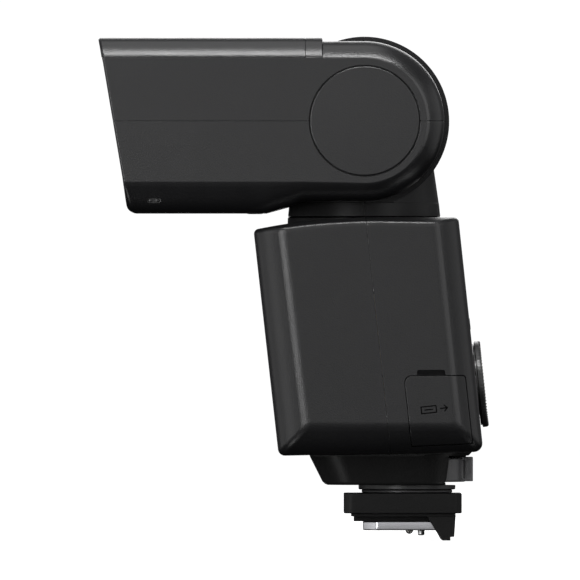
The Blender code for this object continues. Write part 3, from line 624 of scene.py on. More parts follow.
def crease_curve(steps):
    """(inward, outward) shares along the curve from a side face's crease."""
    first = math.radians(30)
    curve = []
    for i in range(steps + 1):
        a = lerp(first, math.pi / 2, i / steps)
        inward = 1 - math.cos(a) / math.cos(first)
        outward = (math.sin(a) - math.sin(first)) / (1 - math.sin(first))
        curve.append((inward, outward))
    return curve


def shrunk(outline, distance):
    """A closed outline moved inwards by a distance."""
    count = len(outline)
    points = [Vector(p) for p in outline]
    area = sum(a.x * b.y - b.x * a.y for a, b in zip(points, points[1:] + points[:1]))
    turn = Matrix.Rotation(math.copysign(math.pi / 2, area), 2)
    moved = []
    for i, point in enumerate(points):
        before = (turn @ (point - points[i - 1])).normalized()
        after = (turn @ (points[(i + 1) % count] - point)).normalized()
        middle = (before + after).normalized()
        moved.append(tuple(point + middle * distance / max(middle.dot(after), 0.5)))
    return moved


def blended(first, middle, last, steps=8):
    """Rings from the first one towards the last, drawn to the middle one."""
    shares = [k / steps for k in range(steps)]
    return [
        [Vector(a) * (1 - t) ** 2 + Vector(b) * 2 * t * (1 - t) + Vector(c) * t * t
         for a, b, c in zip(first, middle, last)]
        for t in shares
    ]


def across_width(name, outline, half, edge, place, steps, fillet=0.0):
    """A solid whose outline grows from both side faces to the full profile.

    A fillet softens the crease around each side face.
    """
    rings = [[(half - edge * i, *p) for p in outline(o)] for i, o in crease_curve(steps)]
    if fillet > 0:
        inner = [(half, *p) for p in shrunk(outline(0), fillet)]
        rings = blended(inner, *rings[:2]) + rings[1:]
    rings += [[(-x, y, z) for x, y, z in ring] for ring in reversed(rings)]
    return loft(name, rings, place)


def head_front(z):
    """The front face's y at a height above the tilt axis."""
    return HEAD_FRONT_Y + (HEAD_TOP - z) * math.tan(math.radians(HEAD_SLANT))


FACE = (PIVOT @ Matrix.Translation((0, head_front(LENS_MIDDLE), LENS_MIDDLE))
        @ Matrix.Rotation(math.radians(HEAD_SLANT), 4, "X"))


def head_outline(outward):
    """The head's profile: 0 is the flat side face, 1 the full profile."""
    top = lerp(HEAD_CREASE_TOP, HEAD_TOP, outward)
    bottom = lerp(HEAD_CREASE_BOTTOM, HEAD_BOTTOM, outward)
    rim = lerp(CHEEK_CREASE_R, CHEEK_R, outward)
    inset = lerp(0.4, 0.0, outward)
    corners = (
        (NOTCH_Y, top, 0),
        (head_front(top) + inset, top, 0.5),
        (head_front(bottom) + inset, bottom, lerp(0.5, 2.0, outward)),
        (RAMP_Y, bottom, 0),
        (-17.3, lerp(HEAD_CREASE_BOTTOM, -19.5, outward), 0),
        (-14.0, lerp(HEAD_CREASE_BOTTOM, -18.3, outward), 0),
    )
    points = rounded(corners)
    points += arc((0, 0), rim, -95, 90, 56)
    points += [(lerp(0, NOTCH_Y + 0.2, k / 6), rim) for k in range(1, 7)]
    return points


def head_block(name, scale=1.0):
    place = PIVOT @ Matrix.Diagonal((scale, 1, scale, 1))
    return across_width(name, head_outline, HEAD_HALF, HEAD_EDGE, place, 12, 0.25)


def cavity_outline(outward):
    """The hollow behind the lens, open to the front."""
    top = lerp(HEAD_CREASE_TOP - HEAD_CREASE_WALL, HEAD_TOP - HEAD_WALL, outward)
    bottom = lerp(HEAD_CREASE_BOTTOM + HEAD_CREASE_WALL, HEAD_BOTTOM + HEAD_WALL, outward)
    return [
        (head_front(top) - LAMP_ROOM, top),
        (head_front(bottom) - LAMP_ROOM, bottom),
        (BULKHEAD_Y, bottom),
        (BULKHEAD_Y, top),
    ]


def slot_outline():
    """The room that the drum and neck need between the two cheeks."""
    clear = NECK_R + 0.25
    bore = DRUM_R + 0.35
    along = math.sqrt(bore**2 - clear**2)

    def corner(neck_angle, side, distance):
        a = math.radians(neck_angle)
        return (
            distance * math.cos(a) - side * clear * math.sin(a),
            distance * math.sin(a) + side * clear * math.cos(a),
        )

    down = -90
    up = TILT_MAX - 90
    low = corner(down, -1, along)
    high = corner(up, 1, along)
    start = math.degrees(math.atan2(low[1], low[0])) % 360
    end = math.degrees(math.atan2(high[1], high[0])) % 360
    points = [corner(down, -1, 25.0)]
    points += arc((0, 0), bore, start, end, 24)
    points += [corner(up, 1, 14.0), (30.0, 24.0), (30.0, -25.0)]
    return points


def head_cutters():
    """Tools that both head shells share: cavity, drum slot, bores, recesses."""
    tools = [
        across_width("cavity", cavity_outline, HEAD_HALF - HEAD_WALL, HEAD_EDGE, PIVOT, 3),
        prism("slot", slot_outline(), "X", -SLOT_HALF, SLOT_HALF, PIVOT),
        rod("bore", TILT_SHAFT_R + FIT, -31.5, 31.5, axis="X", place=PIVOT),
        rod("detent", 11.4, 10.0, 18.4, axis="X", place=PIVOT),
    ]
    for shallow, (low, high) in zip(both_sides(32.4, 36.0), both_sides(18.0, 31.6)):
        tools.append(rod("recess", CAP_R + 0.22, *shallow, axis="X", steps=96, place=PIVOT))
        tools.append(box("pocket", (low, -24.0, -12.5), (high, -11.5, 12.5), PIVOT))
    return tools


def head_upper():
    """The shell above the parting line, with a tongue under the top cover's edge."""
    upper = keep(head_block("head_upper_skin"), slab("half", "Z", SEAM / 2, FAR, PIVOT))
    cut(upper, box("under_cover", (-FAR, -FAR, HEAD_CREASE_TOP - SEAM),
                   (FAR, COVER_REAR_Y + SEAM, FAR), PIVOT))
    tongue = box("tongue", (-FAR, COVER_REAR_Y - 0.8, HEAD_CREASE_TOP - 1),
                 (FAR, COVER_REAR_Y + 0.8, FAR), PIVOT)
    join(upper, keep(head_block("backing", 0.983), tongue))
    return cut(upper, *head_cutters())


def head_lower():
    """The shell below, with a recess for a light modifier in each side's edge."""
    lower = keep(head_block("head_lower_skin"), slab("half", "Z", -FAR, -SEAM / 2, PIVOT))
    window = rectangle(-8.0, -27.7, 8.0, -22.4, 1.2)
    cut(lower, prism("window_pocket", window, "Z", -22.0, -19.6, PIVOT), *head_cutters())
    recess = rectangle(-49.6, -18.7, -46.4, -17.5, 0.58)
    for deep, (low, high) in zip(both_sides(31.2, 36.0), both_sides(30.8, 31.9)):
        cut(lower, prism("recess", recess, "X", *deep, PIVOT))
        join(lower, *[rod("nub", 0.38, low, high, axis="X", steps=24, place=PIVOT,
                          at=(0, y, -18.1)) for y in (-48.8, -47.2)])
    return lower


def head_cover():
    """The cover over the front of the top, with the slots of the two sheets."""
    cover = keep(head_block("head_cover_skin"),
                 box("part", (-FAR, -FAR, HEAD_CREASE_TOP), (FAR, COVER_REAR_Y, FAR), PIVOT))
    slots = box("panel_slots", (-30.0, -FAR, 13.0), (30.0, BULKHEAD_Y, 17.4), PIVOT)
    return cut(cover, slots)


def head_shells(paints):
    for piece, node in ((head_upper(), "head_upper_shell"), (head_lower(), "head_lower_shell"),
                        (head_cover(), "head_top_cover")):
        dress(soften(piece, 0.06, sharp=18), "lamp_head", paints["head"], node)


def hinge_caps(paints):
    """Round caps over the hinge screws, each with a turned rim."""
    profile = ((0, 0), (CAP_R, 0), (CAP_R, 1.2), (CAP_R - 0.1, 1.4), (CAP_R - 0.32, 1.5), (0, 1.5))
    for side, word in ((1, "left"), (-1, "right")):
        turned_cap = [(r, side * (32.5 + h)) for r, h in profile]
        cap = turned(f"hinge_cap_{word}_skin", turned_cap, axis="X", steps=128, place=PIVOT)
        dress(soften(cap), "lamp_head", paints["head"], f"hinge_cap_{word}")


def lens_section():
    """The lens seen from the side: a smooth front and a sawtooth of ribs behind."""
    back = []
    for k in range(int((LENS_HIGH - LENS_LOW) / LENS_RIB)):
        z = LENS_LOW + LENS_RIB * k
        above = z > (LENS_LOW + LENS_HIGH) / 2
        near, far = (3.1, 3.55) if above else (3.55, 3.1)
        back += [(near, z + 0.02), (far, z + LENS_RIB - 0.02)]
    return [(0.8, LENS_LOW), (2.4, LENS_LOW), *back, (2.4, LENS_HIGH), (0.8, LENS_HIGH)]


def lamp_front(paints):
    """The bezel and the Fresnel lens."""
    redress("lens_bezel", "lamp_head", paints["gloss"], 0.25)
    lens = prism("fresnel_lens_fine", lens_section(), "X", -LENS_HALF, LENS_HALF, FACE)
    edge = rectangle(-LENS_HALF, LENS_LOW, LENS_HALF, LENS_HIGH, 2)
    keep(lens, prism("lens_edge", edge, "Y", 0, 5, FACE))
    step = prism("lens_step", rectangle(-40, -30, 40, 30, 1), "Y", 0, 2.6, FACE)
    cut(step, prism("lens_front", rectangle(-28.2, -12.9, 28.2, 12.0, 2), "Y", -1, 4, FACE))
    dress(soften(cut(lens, step)), "lamp_head", paints["lens"], "fresnel_lens")


def receiver(paints):
    """The domed window of the light receiver, under the head."""
    rings = [[(x, y, -19.8) for x, y in rectangle(-7.7, -27.4, 7.7, -22.7, 1.0)]]
    for k in range(7):
        a = math.pi / 2 * k / 6
        inset = 1.1 * (1 - math.cos(a))
        z = lerp(-20.5, -21.1, math.sin(a))
        outline = rectangle(-7.7 + inset, -27.4 + inset, 7.7 - inset, -22.7 - inset, 1.3)
        rings.append([(x, y, z) for x, y in outline])
    dome = soften(loft("receiver_dome", rings, PIVOT))
    dress(dome, "lamp_head", paints["gloss"], "receiver_window")


def panels(paints):
    """The two sheets that slide out of the head's front, with ribbed grips."""
    for name, low, high, half, length, body, paint in (
        ("wide_panel", 14.1, 15.6, 27.0, 30.0, "wide_sheet", "clear"),
        ("bounce_card", 16.1, 17.0, 28.0, 33.0, "card", "card"),
    ):
        place = PIVOT @ Matrix.Translation((0, head_front(high) + 0.6, low))
        thick = high - low
        sheet = prism(f"{name}_fine", rectangle(-half, 0, half, length, 1.5), "Z", 0, thick, place)
        cut(sheet, *[box("grip", (-6, 0.8 + 0.55 * k, thick - 0.25),
                         (6, 1.1 + 0.55 * k, thick + 1), place) for k in range(3)])
        if name == "wide_panel":  # cylinder lenses that spread the light
            for k in range(16):
                cut(sheet, rod("rib", 1.6, -half + 2, half - 2, axis="X", steps=24,
                               at=(0, 5.0 + 1.5 * k, -1.42), place=place))
        dress(soften(sheet, 0.1), body, paints[paint], name)


def zoom_unit(paints):
    """Reflector and flash tube on their carriage."""
    place = PIVOT @ Matrix.Translation((0, -26.0, LENS_MIDDLE))
    on_tube = {"axis": "X", "at": (0, TUBE_Y, 0), "place": place}
    wall, half = 0.8, 18.0
    outer = [(-1.0 - PARABOLA_DEPTH * (i / 16) ** 2, 13.0 * i / 16) for i in range(-16, 17)]
    inner = [(y - wall if abs(z) < 12.9 else y, z * (1 - wall / 12.0)) for y, z in reversed(outer)]
    reflector = prism("reflector_fine", outer + inner, "X", -half, half, place)
    for low, high in both_sides(half - 0.1, half + 0.8):
        join(reflector, prism("end", outer, "X", low, high, place))
    cut(reflector, rod("tube_hole", 2.6, -30, 30, steps=48, **on_tube))
    dress(soften(reflector), "zoom", paints["mirror"], "reflector")

    profile = ((1.5, -19.5), (1.9, -20.6), (2.0, -21.0), (2.2, -20.2), (2.2, 20.2),
               (2.0, 21.0), (1.9, 20.6), (1.5, 19.5))
    tube = turned("flash_tube_fine", profile, steps=48, **on_tube)
    dress(soften(tube), "zoom", paints["glass"], "flash_tube")
    profile = ((0, 13.2), (0.7, 13.5), (0.7, 15.5), (0.45, 15.7), (0.45, 20.9), (0, 20.9))
    for side, word in ((-1, "right"), (1, "left")):
        electrode = turned(f"electrode_{word}", [(r, side * h) for r, h in profile],
                           steps=32, **on_tube)
        dress(soften(electrode), "zoom", paints["steel"])


# ---- neck


def neck_half(name, front):
    half = rod(name, DRUM_R, -DRUM_HALF, DRUM_HALF, axis="X", steps=FINE, place=PIVOT)
    column = box("column", (-DRUM_HALF, -NECK_HALF_Y, NECK_DISC_TOP - 0.5),
                 (DRUM_HALF, NECK_HALF_Y, -3.0), PIVOT)
    taper = ((0, -40.0), (NECK_R + 2.7, -40.0), (NECK_R - 2.8, -2.0), (0, -2.0))
    keep(column, turned("taper", taper, steps=FINE, place=PIVOT))
    profile = ((0, NECK_BOTTOM), (NECK_R - 0.05, NECK_BOTTOM),
               (NECK_R - 0.35, NECK_DISC_TOP), (0, NECK_DISC_TOP))
    join(half, column, turned("disc", profile, steps=FINE, place=PIVOT))
    low, high = (-FAR, -SEAM / 2) if front else (SEAM / 2, FAR)
    keep(half, slab("side", "Y", low, high, PIVOT))
    cut(half, rod("hollow", 16.8, -13.4, 13.4, axis="X", steps=72, place=PIVOT),
        rod("bore", TILT_SHAFT_R + 0.15, -20, 20, axis="X", place=PIVOT),
        rod("wire_way", 7.15, -25, -12, place=PIVOT),
        ring("lip_groove", 15.0, 17.05, -23, NECK_BOTTOM + 0.8, steps=FINE, place=PIVOT))
    return soften(half, 0.05, sharp=20)


def neck(paints):
    for word, front in (("front", True), ("rear", False)):
        piece = neck_half(f"neck_{word}_skin", front)
        dress(piece, "swivel", paints["neck"], f"neck_{word}_shell")


# ---- housing


def housing_outline(outward, inset=0.0):
    """The housing's profile: 0 is the flat side face, 1 the full profile."""
    corners = []
    for side, full in zip(HOUSING_SIDE, HOUSING_FULL):
        y, z, radius = (lerp(a, b, outward) for a, b in zip(side, full))
        if abs(y) > HOUSING_ENDS_Y:
            y -= math.copysign(inset, y)
        z -= math.copysign(inset, z)
        corners.append((y, z, max(radius - inset, 0.3)))
    return rounded(corners)


def housing_block(name, inset=0.0, steps=9):
    """The whole housing, or with an inset the hollow inside it."""
    fillet = 0.0 if inset else 1.1
    return across_width(name, lambda o: housing_outline(o, inset),
                        HOUSING_HALF - inset, HOUSING_EDGE, LEANING, steps, fillet)


def terminal_outline(grow):
    """The terminal cover seen from the side, in the leaning frame."""
    return rounded((
        (7.1 - grow, -9.9 + grow, 1.6),
        (7.1 - grow, -26.0 - grow, 0.3),
        (20.9 + grow, -26.8 - grow, 0.3),
        (20.9 + grow, -11.3 + grow, 0.8),
    ), 8)


def door_outline(grow):
    return rectangle(-16.1 - grow, -19.0 - grow, 13.0 + grow, 10.2 + grow, 1.5)


def button_outlines(grow):
    """Holes and buttons on the rear face, as (x, z) outlines."""
    row = BUTTON_ROW_Z
    return (
        rectangle(-21.5 - grow, row - 1.4 - grow, -12.5 + grow, row + 1.4 + grow, 1.0),
        rectangle(12.5 - grow, row - 1.4 - grow, 21.5 + grow, row + 1.4 + grow, 1.0),
        rectangle(15.0 - grow, -18.5 - grow, 22.0 + grow, -11.5 + grow, 3.3),
        rectangle(-24.0 - grow, -17.0 - grow, -16.0 + grow, -13.0 + grow, 1.2),
    )


def housing_shells(paints):
    shells = {}
    for word, low, high in (("front", -FAR, HOUSING_SEAM_Y - SEAM / 2),
                            ("rear", HOUSING_SEAM_Y + SEAM / 2, FAR)):
        shell = keep(housing_block(f"body_{word}_skin"), slab("side", "Y", low, high, LEANING))
        shells[word] = cut(
            shell,
            housing_block("inside", HOUSING_WALL, 4),
            rod("collar_hole", NECK_R + 0.16, 50, 90, steps=FINE, at=(0, PAN_Y, 0)),
            prism("door_hole", door_outline(0.15), "X", -FAR, -30, LEANING))

    cut(shells["front"], prism("sensor_hole", rectangle(-15, 6, 15, 17, 3), "Y", -30, -15, LEANING))
    cut(shells["rear"], *terminal_cutters(),
        prism("lcd_hole", rectangle(-20.15, 4.35, 20.15, 21.15, 1.2), "Y", 15, 30, LEANING),
        rod("wheel_hole", 7.3, -8, 8, axis="Y", place=WHEEL),
        rod("wheel_seat", WHEEL_R + 0.5, -0.5, 8, axis="Y", steps=96, place=WHEEL))
    cut(shells["rear"], *[prism("hole", outline, "Y", 15, 30, LEANING)
                          for outline in button_outlines(0.2)])
    for word, shell in shells.items():
        soften(shell, 0.06, sharp=24)
        dress(shell, "housing", paints["housing"], f"body_{word}_shell")


def terminal_cutters():
    """The cover's seat, the nail notch over it and the way to the socket."""
    seat = prism("terminal_seat", terminal_outline(0.15), "X", 24.0, FAR, LEANING)
    cut(seat, housing_block("ledge", 1.42, 4))
    outline = rounded(((10.1, -11.2, 0), (16.5, -11.2, 0), (16.5, -9.5, 0.5), (10.1, -8.85, 0.5)))
    notch = prism("nail_notch", outline, "X", HOUSING_HALF - 1.1, FAR, LEANING)
    sloped = [(HOUSING_HALF - 0.15, -8.5), (HOUSING_HALF - 1.1, -11.4),
              (HOUSING_HALF - 3.0, -11.4), (HOUSING_HALF - 3.0, -8.5)]
    cut(notch, prism("notch_floor", sloped, "Y", 8.0, 18.0, LEANING))
    way = [(7.9, -10.8), (7.9, -25.2), (20.1, -25.8), (20.1, -12.1)]
    return seat, notch, prism("terminal_way", way, "X", 24.0, FAR, LEANING)


def swivel_mount(paints):
    """The collar that the neck turns on, and a near-black ring in the gap above it that paints shade
    into the gap.
    """
    profile = ((COLLAR_BORE_R, 66.9), (18.8, 66.9), (18.8, 67.9), (NECK_R + 0.1, 67.9),
               (NECK_R + 0.02, 71.4), (NECK_R - 0.08, COLLAR_TOP),
               (COLLAR_LIP_R, COLLAR_TOP), (COLLAR_LIP_R, 72.4), (15.3, 72.4),
               (15.3, COLLAR_TOP), (COLLAR_BORE_R, COLLAR_TOP))
    collar = turned("swivel_collar_fine", profile, steps=FINE, at=(0, PAN_Y, 0))
    dress(soften(collar), "housing", paints["neck"], "swivel_collar")
    # near-black ring between collar and neck: painted shade that makes the gap look dark
    gap_shade = ring("swivel_gap_shade", COLLAR_LIP_R + 0.05, 17.37, COLLAR_TOP + 0.03, 71.86,
                steps=FINE, at=(0, PAN_Y, 0))
    dress(soften(gap_shade), "housing", paints["gap_shade"])


def windows(paints):
    """Sensor window in front; screen glass, mask and display cell behind."""
    redress("sensor_window", "housing", paints["red"], 0.2)
    redress("lcd_window", "housing", paints["smoked"], 0.2)
    mask = prism("lcd_mask", rectangle(-19.7, 4.8, 19.7, 20.7, 0.9), "Y", 21.06, 21.2, LEANING)
    cut(mask, prism("view", rectangle(-16.5, 7.2, 16.5, 18.6, 0.4), "Y", 20, 22, LEANING))
    dress(soften(mask, 0.02), "housing", paints["gloss"])
    redress("lcd_module", "housing", paints["display"], 0.1)


# ---- controls


def mark(name, outline, height, body, paints, place=KEYS):
    """A printed mark: a thin shape that lies on a face across Y."""
    piece = prism(name, outline, "Y", height - 0.05, height + MARK_HEIGHT, place)
    dress(soften(piece), body, paints["print"])


def keys(paints):
    for node, body, width in (
        ("menu_button", "menu_key", 0.25),
        ("back_button", "back_key", 0.25),
        ("test_button", "test_key", 0.25),
        ("power_switch", "switch", 0.12),
    ):
        redress(node, body, paints["key"], width, 3)

    row = BUTTON_ROW_Z
    for k in range(3):
        z = row + 0.55 * (k - 1)
        bar = rectangle(-18.1, z - 0.1, -15.9, z + 0.1)
        mark(f"menu_mark_{k + 1}", bar, 0.15, "menu_key", paints)
    arrow = [(15.8, row), (16.7, row - 0.75), (16.7, row - 0.15), (18.2, row - 0.15),
             (18.2, row + 0.15), (16.7, row + 0.15), (16.7, row + 0.75)]
    mark("back_mark", arrow, 0.15, "back_key", paints)
    bolt = [(18.9, -13.2), (17.6, -15.3), (18.4, -15.3), (18.0, -16.9), (19.4, -14.7), (18.6, -14.7)]
    mark("test_mark", bolt, 0.15, "test_key", paints)
    mark("power_mark", arc((-18.0, -10.8), 0.45, 0, 345, 23), -0.01, "housing", paints)


def wheel_swell(number, k):
    """Teeth on the rim: rows of the profile from the edge to the face."""
    deep = {7: 0.14, 8: 0.2}.get(number, 0.0)
    share = (0.0, 0.35, 1.0, 0.35)[k % 4]
    sink = {7: 0.12, 8: 0.45, 9: 0.42}.get(number, 0.0)
    return (-deep * share, -sink * share)


def wheel(paints):
    bore = WHEEL_BORE_R
    profile = ((bore, -2.2), (7.0, -2.2), (7.0, 0.3), (9.35, 0.3), (9.35, 0.6),
               (WHEEL_R, 0.75), (WHEEL_R, 1.6), (WHEEL_R - 0.08, 1.88),
               (WHEEL_R - 0.32, 2.1), (WHEEL_R - 0.5, 2.1), (8.9, 1.78), (6.0, 1.62),
               (bore + 0.35, 1.62), (bore, 1.4))
    dial = turned("control_wheel_fine", profile, axis="Y", steps=WHEEL_TEETH * 4,
                  place=WHEEL, swell=wheel_swell)
    dress(soften(dial, weld=0.001), "wheel", paints["wheel"], "control_wheel")

    r = bore - 0.2
    profile = ((0, -2.2), (r, -2.2), (r, 1.45), (r - 0.12, 1.7), (r - 0.35, 1.9),
               (r - 0.7, 2.02), (r - 1.1, 2.0), (2.0, 1.84), (0, 1.78))
    button = turned("enter_button_fine", profile, axis="Y", steps=72, place=WHEEL)
    dress(soften(button), "enter_key", paints["key"], "enter_button")
    mark("enter_mark", arc((0, 0), 0.8, 0, 352.5, 47), 1.82, "enter_key", paints, WHEEL)
    for k in range(4):
        a = math.radians(90 * k)
        middle = Vector((math.cos(a), math.sin(a)))
        side = middle.orthogonal() * 0.5
        tip = (middle * 7.75, middle * 7.1 + side, middle * 7.1 - side)
        mark(f"wheel_mark_{k + 1}", tip, 1.7, "wheel", paints, WHEEL)


# ---- covers


def covers(paints):
    hinge = LEANING @ Matrix.Translation((-HOUSING_HALF, DOOR_HINGE_Y, 0))
    outline = [(y - DOOR_HINGE_Y, z) for y, z in door_outline(0)]
    door = prism("battery_door_skin", outline, "X", 0.0, 1.6, hinge)
    slot = rectangle(-28.3, -8.9, -20.7, -0.1, 1.0)
    arrow = [(-18.9, -4.5), (-17.6, -5.4), (-17.6, -3.6)]
    cut(door, prism("latch_slot", slot, "X", -1, 1.0, hinge),
        prism("arrow", arrow, "X", -1, 0.2, hinge))
    dress(soften(door, 0.14, sharp=24), "door", paints["housing"], "battery_door")
    redress("door_latch", "latch", paints["key"], 0.1)

    cover = housing_block("terminal_cover_skin")
    cut(cover, housing_block("inside", 1.3, 4))
    keep(cover, prism("edge", terminal_outline(0), "X", 25.0, FAR, LEANING))
    bevelled(cover, 0.16, sharp=18)
    symbol = pictogram()
    cut(cover, *[prism("groove", shape, "X", HOUSING_HALF - 0.25, 36, LEANING) for shape in symbol])
    dress(soften(cover), "side_cover", paints["housing"], "terminal_cover")
    # near-black fill in the bottom of the engraved strokes: painted shade in the grooves
    groove_shade_fill, *rest = [prism("terminal_symbol_shade", shape, "X", HOUSING_HALF - 0.3,
                          HOUSING_HALF - 0.1, LEANING) for shape in symbol]
    dress(soften(join(groove_shade_fill, *rest)), "side_cover", paints["groove_shade"])
    redress("terminal_socket", "housing", paints["steel"], 0.3)


def pictogram():
    """Strokes of a port symbol: a socket outline with its tongue, and an arrow."""
    y, z = 13.1, -18.1
    stroke = 0.28
    bars = (
        (-3.1, -0.9, 0.6, -0.9 + stroke), (-3.1, 0.9 - stroke, 0.6, 0.9),
        (-3.1, -0.8, -3.1 + stroke, 0.8), (0.6 - stroke, -0.8, 0.6, 0.8),
        (-2.3, -0.14, -0.3, 0.14), (1.3, -0.14, 2.9, 0.14),
    )
    shapes = [rectangle(y + a, z + b, y + c, z + d) for a, b, c, d in bars]
    for side in (-1, 1):
        shapes.append([(y + 3.2, z), (y + 2.35, z + side * 0.85),
                       (y + 2.15, z + side * 0.65), (y + 2.8, z)])
    return shapes


# ---- inside


def power_cells(paints):
    """Cells with a sleeve, bare ends and a rim, each end towards its contact."""
    half = CELL_LENGTH / 2
    profile = ((0, -half + 0.25), (4.2, -half + 0.25), (4.5, -half), (6.4, -half),
               (CELL_R, -half + 0.6), (CELL_R, half - 2.2), (6.6, half - 1.3),
               (6.2, half - 1.5), (3.0, half - 1.5), (2.7, half - 1.1),
               (2.7, half - 0.2), (2.5, half), (0, half))
    for k in range(4):
        column, row = k % 2, k // 2
        flip = -1 if (column + row) % 2 else 1
        spot = (CELL_X, BAY_Y + (column - 0.5) * CELL_PITCH, BAY_Z + (row - 0.5) * CELL_PITCH)
        cell = turned(f"battery_cell_{k + 1}_fine", [(r, flip * h) for r, h in profile],
                      axis="X", at=spot, place=LEANING)
        dress(soften(cell), "housing", paints["sleeve"], f"battery_cell_{k + 1}")
        cell.data.materials.append(paints["steel"][1])
        for face in cell.data.polygons:
            if abs(face.normal.x) > 0.35:
                face.material_index = 1


def carried_over(paints):
    """CAD nodes that keep their solids, seen only through openings."""
    kinds = {
        "inner": ("card_tray", "zoom_carriage"),
        "steel": ("tilt_shaft", "tilt_detent", "swivel_tube", "swivel_retainer",
                  "lead_screw", "zoom_motor"),
        "brass": ("battery_contacts",),
        "board": ("control_board",),
        "capacitor": ("main_capacitor",),
        "rubber": ("wire_harness",),
    }
    for paint, names in kinds.items():
        for name in names:
            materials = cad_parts[name].data.materials
            materials.clear()
            materials.append(paints[paint][1])


# ---- foot


def under_housing(y):
    """Height of the housing's bottom face at y, less a small gap."""
    front, rear = [LEANING @ Vector((0, u, v)) for u, v, _ in HOUSING_FULL[:-3:-1]]
    return lerp(front.z, rear.z, (y - front.y) / (rear.y - front.y)) - 0.1


def foot_ring(half_x, front, rear, radius, height=None):
    """One level of the foot housing; without a height it follows the housing."""
    outline = rounded((
        (-half_x, front, radius), (half_x, front, radius),
        (half_x, rear, radius * 1.3), (-half_x, rear, radius * 1.3),
    ), 10)
    return [(x, y, height if height else under_housing(y)) for x, y in outline]


def foot_housing(paints):
    housing = loft("foot_housing_skin", [
        foot_ring(13.4, -17.2, 13.8, 6.2, 10.4),
        foot_ring(13.9, -17.8, 14.0, 6.6, 10.65),
        foot_ring(14.4, -18.4, 14.0, 7.0, 11.2),
        foot_ring(17.0, -21.3, 15.0, 8.0, 17.0),
        foot_ring(17.0, -21.3, 15.9, 8.0),
    ])
    cut(housing, prism("lever_gap", [(10.5, 15.6), (9.7, 10.0), (30, 10.0), (30, 15.6)], "X", -30, 30),
        box("lever_sweep", (-9.0, 10.5, 15.0), (30, 30, 17.1)),
        rod("lock_pocket", LOCK_R + 0.35, 10.8, 16.9, steps=96, at=(0, LOCK_Y, 0)),
        prism("tab_sweep", [(0, LOCK_Y)] + arc((0, LOCK_Y), LOCK_R + 2.1, 32, 90, 24),
              "Z", 10.8, 16.9), rod("post_hole", 8.8, 5, 14, at=(0, LOCK_Y, 0)))
    dress(soften(housing, 0.12, sharp=20), "housing", paints["foot"], "foot_housing")

    profile = ((0, BLOCK_TOP + 0.05), (10.2, BLOCK_TOP + 0.05), (10.4, BLOCK_TOP + 0.25),
               (10.4, 9.1), (10.25, 9.3), (10.9, 9.3), (11.1, 9.5), (11.1, 10.3),
               (8.5, 10.3), (8.5, 16.7), (0, 16.7))
    collar = turned("foot_collar_fine", profile, steps=96, at=(0, LOCK_Y, 0))
    dress(soften(collar), "housing", paints["collar"], "foot_collar")


def lock_parts(paints):
    """The lock lever with its ribbed tab, the lock pin and the sprung contact."""
    lock = Matrix.Translation((0, LOCK_Y, 0))
    profile = ((8.8, 11.05), (LOCK_R - 0.3, 11.05), (LOCK_R, 11.35),
               (LOCK_R, 16.25), (LOCK_R - 0.3, 16.55), (8.8, 16.55))
    lever = turned("lock_lever_fine", profile, steps=128, place=lock)
    tab = prism("tab", rectangle(-5.5, LOCK_R - 1.5, 5.5, 15.1, 0.6), "Z", 11.2, 16.75, lock)
    grooves = [box("groove", (1.2 * k - 0.22, 14.85, 11.9), (1.2 * k + 0.22, 16.0, 16.05),
                   lock) for k in range(-3, 4)]
    reliefs = [box("relief", (low, 12.75, 11.9), (high, 13.3, 16.05), lock)
               for low, high in both_sides(4.8, 6.0)]
    join(lever, cut(tab, *grooves, *reliefs))
    dress(soften(lever, 0.12, sharp=24), "lever", paints["lever"], "lock_lever")

    tip = [(CONTACT_R * math.sin(a), CONTACT_TIP * math.cos(a))
           for a in [math.radians(15 * k) for k in range(7)]]
    contact = turned("shoe_contact_fine", [*tip, (CONTACT_R, 5.0), (0, 5.0)], steps=48,
                     at=(0, CONTACT_Y, 0))
    dress(soften(contact), "contact", paints["nickel"], "shoe_contact")
    profile = ((0, -1.25), (0.5, -1.25), (0.62, -1.2), (0.75, -1.07), (0.8, -0.95),
               (0.8, 5.0), (0, 5.0))
    pin = turned("lock_pin_fine", profile, steps=48, at=(0, PIN_Y, 0))
    dress(soften(pin), "pin", paints["steel"], "lock_pin")


def shoe(paints):
    for node, paint, width in (
        ("shoe_block", "shoe", 0.25),
        ("shoe_skirt", "shoe", 0.1),
        ("foot_plate", "plate", 0.3),
        ("contact_insulator", "inner", 0.06),
        *[(f"foot_screw_{k}", "steel", 0.06) for k in range(1, 5)],
    ):
        redress(node, "housing", paints[paint], width)


# ---- stage


def softbox(name, azimuth, elevation, distance, width, height, radiance):
    """A soft light that faces the object. Azimuth 0 is the +X side, 90 is +Y."""
    a, e = math.radians(azimuth), math.radians(elevation)
    towards = Vector((math.cos(e) * math.cos(a), math.cos(e) * math.sin(a), math.sin(e)))
    data = bpy.data.lights.new(name, "AREA")
    data.shape = "RECTANGLE"
    data.size, data.size_y = width, height
    data.energy = radiance * math.pi * width * height
    light = linked(name, data)
    light.location = TARGET + towards * distance
    light.rotation_euler = towards.to_track_quat("Z", "Y").to_euler()
    light.visible_camera = False


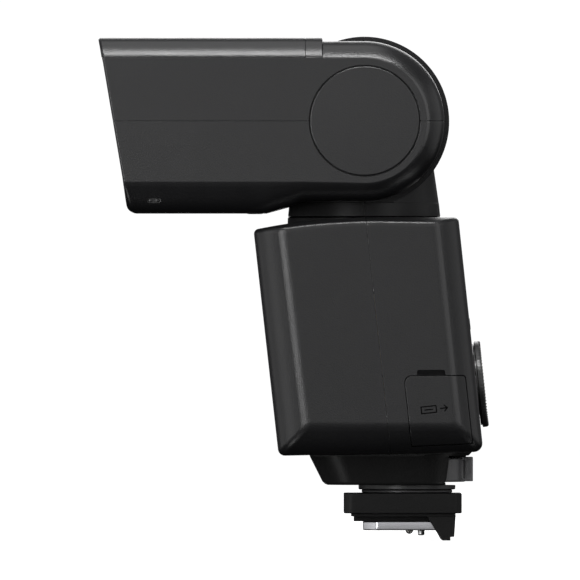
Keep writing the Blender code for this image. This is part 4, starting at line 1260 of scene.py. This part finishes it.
def surroundings():
    """White to the camera; a dim room, lighter above, to the object."""
    world = bpy.data.worlds.new("studio")
    bpy.context.scene.world = world
    world.use_nodes = True
    tree = world.node_tree
    tree.nodes.clear()
    where = add(tree, "TexCoord").outputs["Generated"]
    height = add(tree, "SeparateXYZ", Vector=where).outputs["Z"]
    ramp = tree.nodes.new("ShaderNodeValToRGB")
    tree.links.new(span(tree, height, -1.0, 1.0), ramp.inputs[0])
    stops = ramp.color_ramp.elements
    for k, (place, level) in enumerate(ROOM):
        stop = stops[k] if k < len(stops) else stops.new(place)
        stop.position = place
        stop.color = (level, level, level * 1.02, 1)
    to_object = add(tree, "Background", Color=ramp.outputs[0], Strength=1.0)
    to_camera = add(tree, "Background", Color=(1, 1, 1, 1), Strength=1.05)
    chosen = tree.nodes.new("ShaderNodeMixShader")
    seen = add(tree, "LightPath").outputs["Is Camera Ray"]
    for socket, value in zip(chosen.inputs, (seen, to_object.outputs[0], to_camera.outputs[0])):
        attach(tree, socket, value)
    add(tree, "OutputWorld", Surface=chosen.outputs[0])


def floor():
    """Pale paper that glows evenly and throws no light on the object."""
    mesh = bpy.data.meshes.new("floor")
    lowest = CAD_BOUNDS[0][2] - 0.0001
    corners = [(x, y, lowest) for x, y in rectangle(-3.0, -3.0, 3.0, 3.0)]
    mesh.from_pydata(corners, [], [(0, 1, 2, 3)])
    obj = linked("floor", mesh)
    material = bpy.data.materials.new("floor_paper")
    material.use_nodes = True
    tree = material.node_tree
    tree.nodes.clear()
    glow = add(tree, "Emission", Color=(1, 1, 1, 1), Strength=0.93)
    paper = add(tree, "BsdfDiffuse", Color=(0.4, 0.4, 0.4, 1))
    both = tree.nodes.new("ShaderNodeAddShader")
    attach(tree, both.inputs[0], glow.outputs[0])
    attach(tree, both.inputs[1], paper.outputs[0])
    add(tree, "OutputMaterial", Surface=both.outputs[0])
    mesh.materials.append(material)
    obj.visible_diffuse = False
    obj.visible_glossy = False
    obj.visible_transmission = False
    obj.visible_shadow = False


def camera():
    """Level with the object's middle, far off, looking at its left side."""
    data = bpy.data.cameras.new("camera")
    measured_at = HOUSING_HALF * MM * 0.6
    data.lens = data.sensor_width * (CAMERA_DISTANCE - measured_at) / SEEN_WIDTH
    data.clip_end = 50.0
    obj = linked("camera", data)
    obj.location = TARGET + Vector((CAMERA_DISTANCE, 0, 0))
    obj.rotation_euler = (math.pi / 2, 0, math.pi / 2)
    bpy.context.scene.camera = obj


def studio():
    surroundings()
    floor()
    camera()
    for light in LIGHTS:
        softbox(*light)
    bpy.context.scene.view_settings.view_transform = "Standard"


def main():
    paints = make_paints()
    for make in (head_shells, hinge_caps, lamp_front, receiver, panels, zoom_unit, neck,
                 housing_shells, swivel_mount, windows, keys, wheel, covers, power_cells,
                 carried_over, foot_housing, lock_parts, shoe):
        make(paints)
    studio()


main()
bpy.context.view_layer.update()
